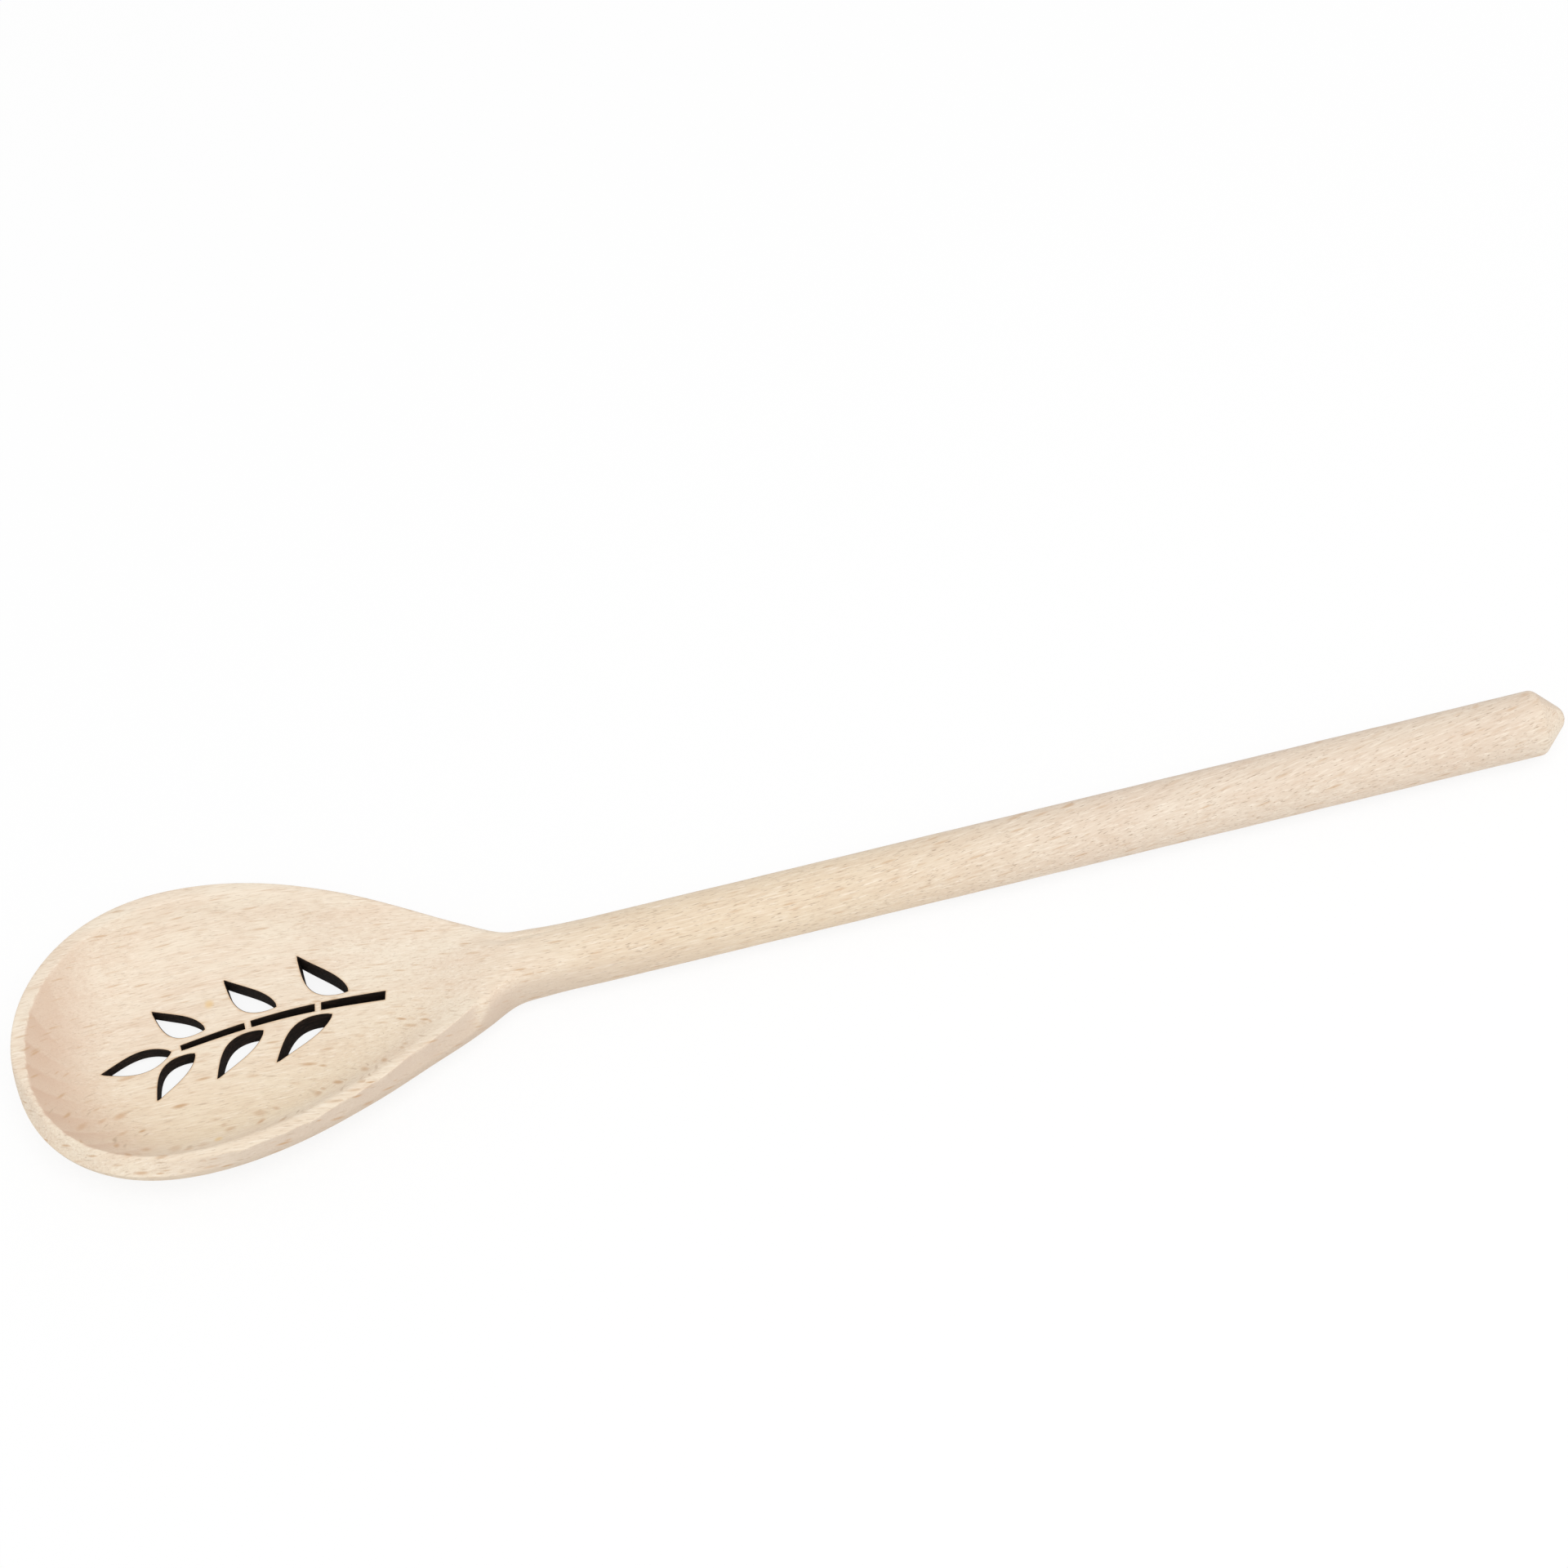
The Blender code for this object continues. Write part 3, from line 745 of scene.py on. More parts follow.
class Shader:
    """A material or a world under construction, with one method that makes every node in it."""

    def __init__(self, owner: bpy.types.Material | bpy.types.World) -> None:
        """Start without nodes.

        Args:
            owner: the new material or world.
        """
        self.owner = owner
        self.owner.use_nodes = True
        self.tree = self.owner.node_tree
        self.tree.nodes.clear()

    def node(self, kind: str, settings: dict | None = None, inputs: dict | None = None) -> bpy.types.Node:
        """Add a node.

        Args:
            kind: the node's type.
            settings: its properties, set before its sockets.
            inputs: its input sockets by name or number, each a Value, an output socket or a plain value.

        Returns:
            The node.
        """
        made = self.tree.nodes.new(kind)
        for key, value in (settings or {}).items():
            setattr(made, key, value)
        for key, value in (inputs or {}).items():
            socket = made.inputs[key]
            if isinstance(value, Value):
                self.tree.links.new(value.socket, socket)
            elif isinstance(value, bpy.types.NodeSocket):
                self.tree.links.new(value, socket)
            else:
                socket.default_value = value
        return made

    def place(self) -> bpy.types.NodeSocket:
        """The place on the piece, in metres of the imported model's frame."""
        return self.node("ShaderNodeTexCoord").outputs["Object"]

    def vector(self, operation: str, a: Any, b: Any) -> bpy.types.NodeSocket:
        """The vector that a Vector Math operation makes of a and b."""
        return self.node("ShaderNodeVectorMath", {"operation": operation}, {0: a, 1: b}).outputs[0]

    def length(self, a: Any) -> Value:
        """A vector's length."""
        node = self.node("ShaderNodeVectorMath", {"operation": "LENGTH"}, {0: a})
        return Value(self, node.outputs["Value"])

    def mix(self, factor: Any, a: Any, b: Any) -> bpy.types.NodeSocket:
        """A colour between a and b."""
        a, b = ((*c, 1.0) if isinstance(c, tuple) else c for c in (a, b))
        return self.node("ShaderNodeMix", {"data_type": "RGBA"}, {0: factor, 6: a, 7: b}).outputs[2]

    def split(self, a: Any) -> tuple[Value, ...]:
        """A vector's three numbers."""
        parts = self.node("ShaderNodeSeparateXYZ", {}, {0: a})
        return tuple(Value(self, output) for output in parts.outputs)

    def attribute(self, mark: Mark) -> Value:
        """The number that a piece carries under this mark, 0 where it carries none."""
        node = self.node("ShaderNodeAttribute", {"attribute_name": mark.value})
        return Value(self, node.outputs["Fac"])

    def noise(self, at: Any, cell: Triple, detail: float = 2.0, rough: float = 0.5) -> bpy.types.Node:
        """A noise whose cells have their own size along each axis.

        Args:
            at: the place.
            cell: the cells' size along the three axes.
            detail: how many finer layers it has.
            rough: how much each finer layer counts.

        Returns:
            The node.
        """
        scaled = self.vector("DIVIDE", at, cell)
        inputs = {"Vector": scaled, "Scale": 1.0, "Detail": detail, "Roughness": rough}
        return self.node("ShaderNodeTexNoise", {}, inputs)

    def noise_value(self, at: Any, cell: Triple, detail: float = 2.0, rough: float = 0.5) -> Value:
        """A noise as a number about one half."""
        return Value(self, self.noise(at, cell, detail, rough).outputs["Fac"])

    def bump(self, height: Value, strength: float, distance: float) -> bpy.types.NodeSocket:
        """The normal of a surface that stands out by this height, in shares of the distance."""
        inputs = {"Strength": strength, "Distance": distance, "Height": height}
        return self.node("ShaderNodeBump", {}, inputs).outputs[0]

    def finish(self, colour: Any, roughness: Any, normal: Any, specular: float) -> bpy.types.Material:
        """Put the finish on a Principled surface.

        Args:
            colour: the base colour.
            roughness: the roughness.
            normal: the normal, as a bump gives it.
            specular: how strongly the surface mirrors, where 0.5 is a common one.

        Returns:
            The finished material.
        """
        inputs = {
            "Base Color": colour, "Roughness": roughness, "Normal": normal, "Specular IOR Level": specular
        }
        surface = self.node("ShaderNodeBsdfPrincipled", {}, inputs)
        self.node("ShaderNodeOutputMaterial", {}, {"Surface": surface.outputs[0]})
        return self.owner


@dataclass(frozen=True)
class Ray:
    """One size of the rays that run through beech: a thin lens in a plane along and across the grain.

    There is one ray in each cell, of about the half sizes. The strength is that of a ray anywhere, and
    the warm strength is added on the bowl's warm side.
    """

    cell: Triple
    half: Triple
    colour: Colour
    strength: float
    warm_strength: float
    seed: Triple


@dataclass(frozen=True)
class Figure:
    """One layer of the wood's figure: a noise of these cells, with a step from its start to its end."""

    cell: Triple
    detail: float
    start: float
    end: float
    strength: float

    def mask(self, shader: Shader, at: Any) -> Value:
        """Where the figure shows, from 0 to its strength."""
        noise = shader.noise_value(at, self.cell, self.detail)
        return noise.between(self.start, self.end) * self.strength


@dataclass(frozen=True)
class Tint:
    """A colour that is mixed in where a piece carries a mark."""

    mark: Mark
    strength: float
    colour: Colour


@dataclass(frozen=True)
class Beech:
    """Bare, fine-sanded beech.

    Sizes are in millimetres, along the grain, round the pith and out from it. The relief is in metres.
    A pair is where a step starts and where it ends, but for these: the pith's place, the grip's bend with
    its softness, the shares of two colours, and a ray's least size or strength with what chance adds.
    """

    cream: Colour = (0.850, 0.745, 0.605)
    rosy: Colour = (0.800, 0.655, 0.515)
    late_wood: Colour = (0.660, 0.500, 0.365)
    pore: Colour = (0.430, 0.310, 0.215)
    pale_fibre: Colour = (0.930, 0.830, 0.700)
    grip: Colour = (0.690, 0.562, 0.455)
    # Warm colour: the bowl's warmer side, and painted shade on the grip near the neck.
    warm: Colour = (0.790, 0.640, 0.440)
    resin: Colour = (0.780, 0.520, 0.200)
    scorch: Colour = (0.230, 0.110, 0.045)
    scorch_fringe: Colour = (0.560, 0.330, 0.140)
    tints: tuple[Tint, ...] = (
        Tint(Mark.END_GRAIN, 0.45, (0.700, 0.520, 0.400)),
        # Painted shade, darker and greyer, on steep sides.
        Tint(Mark.SIDE_SHADE, 0.62, (0.600, 0.485, 0.390)),
        # Painted shade on the tip's cut wall and between its facets.
        Tint(Mark.WALL_SHADE, 1.0, (0.640, 0.455, 0.335)),
    )
    wander_cell: Triple = (38.0, 9.0, 9.0)
    wander: Triple = (6.0, 1.6, 1.6)
    pith: Span = (52.0, -46.0)
    bowl_bend: Span = (30.0, 115.0)
    bowl_shift: float = 10.0
    grip_bend: Span = (165.0, 30.0)
    grip_slope: float = 0.17
    grip_from: Span = (85.0, 125.0)
    # Where the painted warm shade on the grip fades out.
    grip_shade_fade: Span = (150.0, 215.0)
    grip_share: float = 0.5
    warm_side: Span = (12.0, -26.0)
    rim_height: Span = (0.0, 4.0)
    rim_loss: float = 0.7
    # Shares of the bowl's warm side and of the grip's painted shade.
    warm_shares: Span = (0.65, 0.55)
    # Painted light on the end cone: the grip's colour stops there, so the cone shows paler.
    painted_light_end: Span = (290.0, 297.0)
    mottle: Figure = Figure((17.0, 4.5, 6.0), 2.0, 0.36, 0.66, 0.55)
    band: Figure = Figure((90.0, 7.0, 7.0), 1.0, 0.35, 0.65, 0.35)
    ring: float = 2.7
    ring_rise: float = 0.030
    ring_darkens: Span = (0.45, 0.93)
    ring_ends: Span = (0.95, 1.0)
    ring_share: float = 0.10
    fibre_cell: Triple = (4.0, 0.32, 0.32)
    fibre_detail: float = 3.0
    fibre_rough: float = 0.6
    fibre_pale: Span = (0.50, 0.75)
    fibre_dark: Span = (0.28, 0.50)
    fibre_shares: Span = (0.72, 0.52)
    pores: Figure = Figure((1.5, 0.16, 0.18), 1.0, 0.60, 0.76, 1.0)
    pore_share: float = 0.42
    pore_share_on_grip: float = 0.45
    ray_edge: Span = (0.20, 1.05)
    ray_size: Span = (0.35, 0.9)
    ray_chance: Span = (0.25, 0.75)
    rays: tuple[Ray, ...] = (
        Ray((5.0, 1.15, 3.6), (2.1, 0.24, 1.5), (0.570, 0.360, 0.200), 0.68, 0.40, (0.0, 0.0, 0.0)),
        Ray((3.4, 0.90, 4.0), (1.3, 0.11, 1.6), (0.500, 0.365, 0.250), 0.49, 0.29, (31.0, 17.0, 5.0)),
        Ray((6.0, 2.40, 6.0), (1.7, 0.32, 2.0), (0.560, 0.330, 0.170), 0.16, 0.70, (7.0, 53.0, 41.0)),
    )
    resin_spots: tuple[Triple, ...] = ((37.0, 10.4, 1.0), (36.6, -22.6, 0.9))
    resin_edge: Span = (0.3, 1.3)
    resin_share: float = 0.55
    fringe_edge: Span = (0.05, 0.60)
    fringe_share: float = 0.5
    scorch_edge: Span = (0.35, 1.00)
    scorch_share: float = 0.8
    sanding_cell: Triple = (0.35, 0.35, 0.35)
    fibre_height: float = 0.5
    pore_depth: float = 0.7
    ray_depth: float = 0.5
    sanding_height: float = 0.4
    roughness: float = 0.55
    fibre_roughness: float = 0.10
    specular: float = 0.35
    bump: float = 0.5
    relief: float = 0.00006

    def grain_shift(self, along: Value) -> Value:
        """How far the grain's lines draw aside: towards the near side in the bowl, back along the grip.

        On the grip it is half the sum of a line and a hyperbola, so it nears nothing before the bend
        and a straight slope past it.

        Args:
            along: the place along the spoon.

        Returns:
            The shift across the spoon, in millimetres.
        """
        bend, softness = self.grip_bend
        past = along - bend
        on_grip = ((past**2 + softness**2) ** 0.5 + past) * (0.5 * self.grip_slope)
        return on_grip - along.between(*self.bowl_bend) * self.bowl_shift

    def ray_mask(self, shader: Shader, at: Any, ray: Ray) -> Value:
        """Where a ray of one size is cut: near a cell's point, by the lens's own distance.

        Args:
            shader: the material.
            at: the place in the wood, in millimetres.
            ray: the size of the rays.

        Returns:
            The mask, from 0 off the rays to each ray's own share of the strength on it.
        """
        scaled = shader.vector("ADD", shader.vector("DIVIDE", at, ray.cell), ray.seed)
        cells = shader.node("ShaderNodeTexVoronoi", {}, {"Vector": scaled, "Scale": 1.0})
        offset = shader.vector("SUBTRACT", scaled, cells.outputs["Position"])
        lens = tuple(c / h for c, h in zip(ray.cell, ray.half))
        distance = shader.length(shader.vector("MULTIPLY", offset, lens))
        chance = shader.node("ShaderNodeSeparateColor", {}, {0: cells.outputs["Color"]})
        size, strength = (
            Value(shader, output) * more + least
            for output, (least, more) in zip(chance.outputs, (self.ray_size, self.ray_chance))
        )
        return (1.0 - (distance / size).between(*self.ray_edge)) * strength

    def in_wood(self, shader: Shader, spoon: Any) -> tuple[Any, ...]:
        """A place in the wood, in polar coordinates: along the grain, round the pith and out from it.

        The grain wanders by a slow noise, and its lines draw aside.

        Args:
            shader: the material.
            spoon: the place on the spoon, in millimetres.

        Returns:
            The wandering place along, aside and above, the distance out, and the place in the wood.
        """
        wander = shader.noise(spoon, self.wander_cell).outputs["Color"]
        drift = shader.vector("SUBTRACT", wander, (0.5,) * 3)
        bent = shader.vector("ADD", spoon, shader.vector("MULTIPLY", drift, self.wander))
        along, aside, above = shader.split(bent)
        beside, over = aside - self.grain_shift(along) - self.pith[0], above - self.pith[1]
        out = (beside**2 + over**2) ** 0.5
        around = over.angle(beside) * math.hypot(*self.pith)
        wood = shader.node("ShaderNodeCombineXYZ", {}, {0: along, 1: around, 2: out}).outputs[0]
        return along, aside, above, out, wood

    def stained(self, shader: Shader, spoon: Any, colour: Any) -> Any:
        """A colour with the resin spots and the soot over it.

        Args:
            shader: the material.
            spoon: the place on the spoon, in millimetres.
            colour: the colour below.

        Returns:
            The colour's socket.
        """
        for x, y, size in self.resin_spots:
            offset = shader.vector("SUBTRACT", spoon, (x, y, 0.0))
            flat = shader.length(shader.vector("MULTIPLY", offset, (1.0 / size, 1.0 / size, 0.0)))
            spot = 1.0 - flat.between(*self.resin_edge)
            colour = shader.mix(spot * self.resin_share, colour, self.resin)
        soot = shader.attribute(Mark.SOOT)
        fringe = soot.between(*self.fringe_edge) * self.fringe_share
        scorched = soot.between(*self.scorch_edge) * self.scorch_share
        return shader.mix(scorched, shader.mix(fringe, colour, self.scorch_fringe), self.scorch)

    def material(self, carving: Carving) -> bpy.types.Material:
        """The finish, laid through the whole spoon so that the grain runs on from bowl to handle.

        Args:
            carving: the spoon's form, for its place.

        Returns:
            The material.
        """
        shader = Shader(bpy.data.materials.new("beech"))
        origin = tuple(-MILLIMETRES * value for value in (carving.tip, *carving.axis))
        inputs = {"Vector": shader.place(), "Location": origin, "Scale": (MILLIMETRES,) * 3}
        spoon = shader.node("ShaderNodeMapping", {}, inputs).outputs[0]
        along, aside, above, out, wood = self.in_wood(shader, spoon)

        clouds = self.mottle.mask(shader, wood) + self.band.mask(shader, wood)
        colour = shader.mix(clouds, self.cream, self.rosy)
        on_grip = along.between(*self.grip_from)
        # Painted light: the grip's colour fades out over the end cone.
        lit_end = along.between(*self.painted_light_end)
        colour = shader.mix(on_grip * (1.0 - lit_end) * self.grip_share, colour, self.grip)
        on_rim = above.between(*self.rim_height)
        warm_side = aside.between(*self.warm_side) * (1.0 - on_grip)
        warm_bowl = warm_side * (1.0 - on_rim * self.rim_loss)
        # Painted warm shade on the grip near the neck, fading out along it.
        grip_shade = on_grip * (1.0 - along.between(*self.grip_shade_fade))
        bowl_share, grip_share = self.warm_shares
        colour = shader.mix(warm_bowl * bowl_share + grip_shade * grip_share, colour, self.warm)

        ring = ((out + along * self.ring_rise) / self.ring).fraction()
        late = ring.between(*self.ring_darkens) * (1.0 - ring.between(*self.ring_ends))
        colour = shader.mix(late * self.ring_share, colour, self.late_wood)

        fibre = shader.noise_value(wood, self.fibre_cell, self.fibre_detail, self.fibre_rough)
        pale_share, dark_share = self.fibre_shares
        pale, dark = fibre.between(*self.fibre_pale), 1.0 - fibre.between(*self.fibre_dark)
        colour = shader.mix(pale * pale_share, colour, self.pale_fibre)
        colour = shader.mix(dark * dark_share, colour, self.late_wood)
        pore = self.pores.mask(shader, wood)
        pored = pore * (on_grip * self.pore_share_on_grip + self.pore_share)
        colour = shader.mix(pored, colour, self.pore)

        # Tints by the marks: end grain, and painted shade on steep sides and on the tip's cut wall.
        for tint in self.tints:
            colour = shader.mix(shader.attribute(tint.mark) * tint.strength, colour, tint.colour)
        ray_all = None
        for ray in self.rays:
            mask = self.ray_mask(shader, wood, ray) * (warm_side * ray.warm_strength + ray.strength)
            colour = shader.mix(mask, colour, ray.colour)
            ray_all = mask if ray_all is None else ray_all + mask
        colour = self.stained(shader, spoon, colour)

        sanded = fibre * self.fibre_height - pore * self.pore_depth - ray_all * self.ray_depth
        relief = sanded + shader.noise_value(spoon, self.sanding_cell) * self.sanding_height
        roughness = fibre * self.fibre_roughness + self.roughness
        bump = shader.bump(relief, self.bump, self.relief)
        return shader.finish(colour, roughness, bump, self.specular)


@dataclass(frozen=True)
class Char:
    """Wood burnt nearly black, on the walls of the cuts.

    The cells of its lines are in millimetres, the relief in metres.
    """

    black: Colour = (0.011, 0.007, 0.005)
    brown: Colour = (0.040, 0.022, 0.014)
    line_cell: Triple = (2.5, 0.5, 0.25)
    line_detail: float = 3.0
    brown_lines: Span = (0.40, 0.75)
    roughness: float = 0.85
    specular: float = 0.2
    bump: float = 0.4
    relief: float = 0.0001

    def material(self) -> bpy.types.Material:
        """The finish: black, with browner lines along the grain.

        Returns:
            The material.
        """
        shader = Shader(bpy.data.materials.new("charred_beech"))
        place = shader.vector("MULTIPLY", shader.place(), (MILLIMETRES,) * 3)
        lines = shader.noise_value(place, self.line_cell, self.line_detail)
        colour = shader.mix(lines.between(*self.brown_lines), self.black, self.brown)
        bump = shader.bump(lines, self.bump, self.relief)
        return shader.finish(colour, self.roughness, bump, self.specular)


def new_piece(name: str, data: bpy.types.ID) -> bpy.types.Object:
    """Put a mesh, a camera or a lamp into the scene, at the origin.

    Args:
        name: the new object's name.
        data: the mesh, camera or lamp.

    Returns:
        The object.
    """
    made = bpy.data.objects.new(name, data)
    bpy.context.scene.collection.objects.link(made)
    return made


def close(mesh: bpy.types.Mesh) -> None:
    """Merge the points that meet at seams and poles, and turn every face outwards.

    Args:
        mesh: the mesh, which is changed.
    """
    bm = bmesh.new()
    bm.from_mesh(mesh)
    bmesh.ops.remove_doubles(bm, verts=bm.verts, dist=MERGE_DISTANCE)
    bmesh.ops.recalc_face_normals(bm, faces=bm.faces)
    bm.to_mesh(mesh)
    bm.free()


def shade(mesh: bpy.types.Mesh) -> None:
    """Shade a mesh smooth, but for its sharp edges."""
    mesh.shade_smooth()
    mesh.set_sharp_from_angle(angle=SHARP_ANGLE)


def grid_faces(columns: int, rows: int) -> np.ndarray:
    """The corners of the quads of a grid of points, column after column."""
    corner = (np.arange(columns - 1)[:, None] * rows + np.arange(rows - 1)[None, :]).ravel()
    return np.stack((corner, corner + rows, corner + rows + 1, corner + 1), axis=1)


def read_points(mesh: bpy.types.Mesh, what: str) -> np.ndarray:
    """A mesh's points or normals.

    Args:
        mesh: the mesh.
        what: co for the points or normal for the normals.

    Returns:
        One row for each point.
    """
    values = np.empty(len(mesh.vertices) * 3, dtype=np.float32)
    mesh.vertices.foreach_get(what, values)
    return values.reshape(-1, 3).astype(float)


def write_mark(mesh: bpy.types.Mesh, mark: Mark, values: np.ndarray) -> None:
    """Give each point of a mesh a number under this mark."""
    layer = mesh.attributes.new(mark.value, "FLOAT", "POINT")
    layer.data.foreach_set("value", values.astype(np.float32))


@dataclass
class Bowl:
    """The carved bowl and neck: a fine grid over its upper side and underside, pierced by the sprig.

    A pair is where a step or a stretch starts and where it ends, but for the arris's limits, shares of
    the room on its inner and outer side, and the painted shade on the tip's wall, a mean with what a
    facet adds.
    """

    carving: Carving
    sprig: Sprig
    tip_columns: int = 76
    pierced_step: float = 0.00045
    plain_step: float = 0.00080
    pierced_end: float = 0.0745
    hollow_shares: tuple[tuple[float, float, int], ...] = ((0.0, 0.66, 44), (0.66, 0.97, 16))
    edge_insets: tuple[float, ...] = (0.0008, 0.0005, 0.0003, 0.00015, 0.0)
    rim_shares: tuple[float, ...] = (0.12, 0.26, 0.40, 0.52, 0.63, 0.73, 0.82, 0.91)
    arris_offsets: tuple[float, ...] = (-1.0, -0.5, -0.2, 0.0, 0.2, 0.5, 1.0)
    arris_reach: float = 0.0004
    least_flat: float = 0.35
    widest_edge: float = 0.92
    inset_limit: float = 0.9
    arris_limits: Span = (0.4, 0.5)
    flank_rows: int = 18
    under_rows: int = 66
    socket_radius: float = 0.0038
    socket_bottom: float = 0.1037
    crossed_grain: Span = (0.12, 0.70)
    # Painted shade on the tip's cut wall and its facets.
    milled_share: Span = (0.45, 0.97)
    milled_turn: Span = (0.30, 1.00)
    milled_centre: float = -0.32
    milled_level: Span = (0.2, 0.5)
    wall_shade_levels: Span = (0.60, 0.52)
    facet_share: Span = (0.66, 0.90)
    facet_power: float = 1.5
    facet_end: Span = (0.90, 1.0)
    facet_mean: float = 0.35
    sooted: Span = (0.012, 0.075)
    soot_reach: float = 0.00045
    soot_strength: float = 0.55
    scorch_reach: float = 0.0016
    scorch_offset: float = 0.5
    scorch_depth: Span = (0.002, 0.004)
    name: str = "spoon_bowl"

    def stations(self) -> tuple[np.ndarray, np.ndarray, np.ndarray]:
        """The columns: turns about the widest place round the tip, then places along the body.

        Returns:
            For each column, the shares along and across of its outline point, and its place x.
        """
        form = self.carving
        power = 2.0 / form.tip_exponent
        turn = np.linspace(0.0, math.pi / 2, self.tip_columns, endpoint=False)
        pierced = np.arange(form.widest, self.pierced_end, self.pierced_step)
        plain = np.linspace(
            self.pierced_end, form.joint, round((form.joint - self.pierced_end) / self.plain_step) + 1
        )
        body = np.concatenate((pierced, plain))
        ahead = np.concatenate((np.cos(turn) ** power, np.zeros(len(body))))
        aside = np.concatenate((np.sin(turn) ** power, np.ones(len(body))))
        place = np.concatenate((np.full(len(turn), form.widest), body))
        return ahead[:, None], aside[:, None], place[:, None]

    def row_shares(self, x: np.ndarray, edge: np.ndarray) -> tuple[np.ndarray, np.ndarray]:
        """The upper side's rows, as outline shares from the middle line out.

        They crowd at the hollow's edge and at the rim's arris. From the arris down they follow the
        section's superellipse by its angle, up to a right angle at the outline.

        Args:
            x: each column's place on the outline.
            edge: each column's outline share at the hollow's edge.

        Returns:
            The shares, one line for each column, and the flank's angles, for as many rows at the end.
        """
        form = self.carving
        width = form.width_at(np.maximum(x, form.widest))
        flat = np.maximum(form.flat_share(x), self.least_flat)
        edge = np.minimum(edge, flat * self.widest_edge)
        inner = np.concatenate([np.linspace(a, b, n, endpoint=False) for a, b, n in self.hollow_shares])
        room = (1.0 - self.hollow_shares[-1][1]) * self.inset_limit * edge
        widest_inset = np.minimum(self.edge_insets[0] / width, room)
        insets = widest_inset * np.array(self.edge_insets)[None, :] / self.edge_insets[0]
        inwards, outwards = self.arris_limits
        near = np.minimum(self.arris_reach / width, (flat - edge) * inwards)
        near = np.minimum(near, (1.0 - flat) * outwards)
        last = flat + near
        exponent, _ = form.exponents(x)
        start = np.arcsin(last ** (exponent / 2))
        step = (np.arange(1, self.flank_rows + 1) / self.flank_rows)[None, :]
        angle = start + (math.pi / 2 - start) * step
        rows = (
            edge * inner[None, :],
            edge - insets,
            edge + (flat - near - edge) * np.array(self.rim_shares)[None, :],
            flat + near * np.array(self.arris_offsets)[None, :],
            np.sin(angle) ** (2 / exponent),
        )
        return np.concatenate(rows, axis=1), angle

    def upper_rows(self, side: float) -> tuple[np.ndarray, np.ndarray, np.ndarray]:
        """The upper side, from the middle line out, through the hollow's edge to the outline.

        Args:
            side: 1 for the far side, -1 for the near one.

        Returns:
            Grids of x, across and height, one line for each column.
        """
        form = self.carving
        ahead, aside, place = self.stations()
        edge_x, edge_across = place - ahead * (form.widest - form.rim), aside * form.hollow_side(place)
        rim_x, rim_across = place - ahead * form.widest, aside * form.width_at(place)
        edge = form.outline_share(edge_x, edge_across)
        share, angle = self.row_shares(rim_x, edge)
        inward = np.minimum(share / edge, 1.0)
        outward = np.clip((share - edge) / (1.0 - edge), 0.0, 1.0)
        x = place + (edge_x - place) * inward + (rim_x - edge_x) * outward
        across = edge_across * inward + (rim_across - edge_across) * outward
        fall = form.fall(x, form.outline_share(x, across))
        exponent, _ = form.exponents(rim_x)
        fall[:, -self.flank_rows:] = np.clip(np.cos(angle), 0.0, 1.0) ** (2 / exponent)
        return x, across * side, form.upper(x, across * side, fall)

    def lower_rows(self, side: float) -> tuple[np.ndarray, np.ndarray, np.ndarray]:
        """The underside, from the outline in: rows by the angle of its superellipse, down to none.

        Args:
            side: 1 for the far side, -1 for the near one.

        Returns:
            Grids of x, across and height, one line for each column.
        """
        form = self.carving
        ahead, aside, place = self.stations()
        angle = np.linspace(math.pi / 2, 0.0, self.under_rows + 1)[1:][None, :]
        share = np.sin(angle) ** (2 / form.underside_exponent)
        x = place - ahead * form.widest * share
        across = aside * form.width_at(place) * share * side
        return x, across, form.under(x, across)

    def half_shell(self, side: float) -> np.ndarray:
        """One side of the shell: its rows above and below, the neck's end face and half the socket.

        Args:
            side: 1 for the far side, -1 for the near one.

        Returns:
            A grid of world points, one line for each column.
        """
        form = self.carving
        halves = zip(self.upper_rows(side), self.lower_rows(side))
        x, across, height = (np.concatenate(pair, axis=1) for pair in halves)
        ring_across, ring_height = across[-1:], height[-1:]
        narrow = self.socket_radius / form.radius
        bottom = np.full_like(x[-1:], self.socket_bottom)
        x = np.concatenate((x, x[-1:], bottom, bottom))
        across = np.concatenate((across, ring_across * narrow, ring_across * narrow, ring_across * 0.0))
        height = np.concatenate((height, ring_height * narrow, ring_height * narrow, ring_height * 0.0))
        return form.place(x, form.middle(x) + across, height)

    def shell(self) -> bpy.types.Mesh:
        """The whole unpierced bowl, closed from its far and its near half.

        Returns:
            The mesh.
        """
        sides = [self.half_shell(side) for side in (1.0, -1.0)]
        columns, rows = sides[0].shape[:2]
        faces = grid_faces(columns, rows)
        mesh = bpy.data.meshes.new(self.name)
        both = np.concatenate((faces, faces[:, ::-1] + columns * rows))
        mesh.from_pydata(np.concatenate(sides).reshape(-1, 3).tolist(), [], both.tolist())
        close(mesh)
        return mesh

    def pierce(
        self, solid: bpy.types.Mesh, wood: bpy.types.Material, char: bpy.types.Material
    ) -> bpy.types.Mesh:
        """Cut the sprig out of the solid bowl. The walls of the cuts keep the charred finish.

        Args:
            solid: the unpierced bowl.
            wood: the bare wood's finish.
            char: the finish of the cuts' walls.

        Returns:
            The pierced bowl.
        """
        solid.materials.append(wood)
        cuts = self.sprig.cutter()
        close(cuts)
        cuts.materials.append(char)
        body, tool = new_piece("uncut_bowl", solid), new_piece("sprig_cutter", cuts)
        boolean = body.modifiers.new("sprig", "BOOLEAN")
        boolean.operation = "DIFFERENCE"
        boolean.solver = "EXACT"
        boolean.material_mode = "TRANSFER"
        boolean.object = tool
        depsgraph = bpy.context.evaluated_depsgraph_get()
        mesh = bpy.data.meshes.new_from_object(body.evaluated_get(depsgraph))
        for used in (body, tool):
            bpy.data.meshes.remove(used.data, do_unlink=True)
        mesh.name = self.name
        return mesh

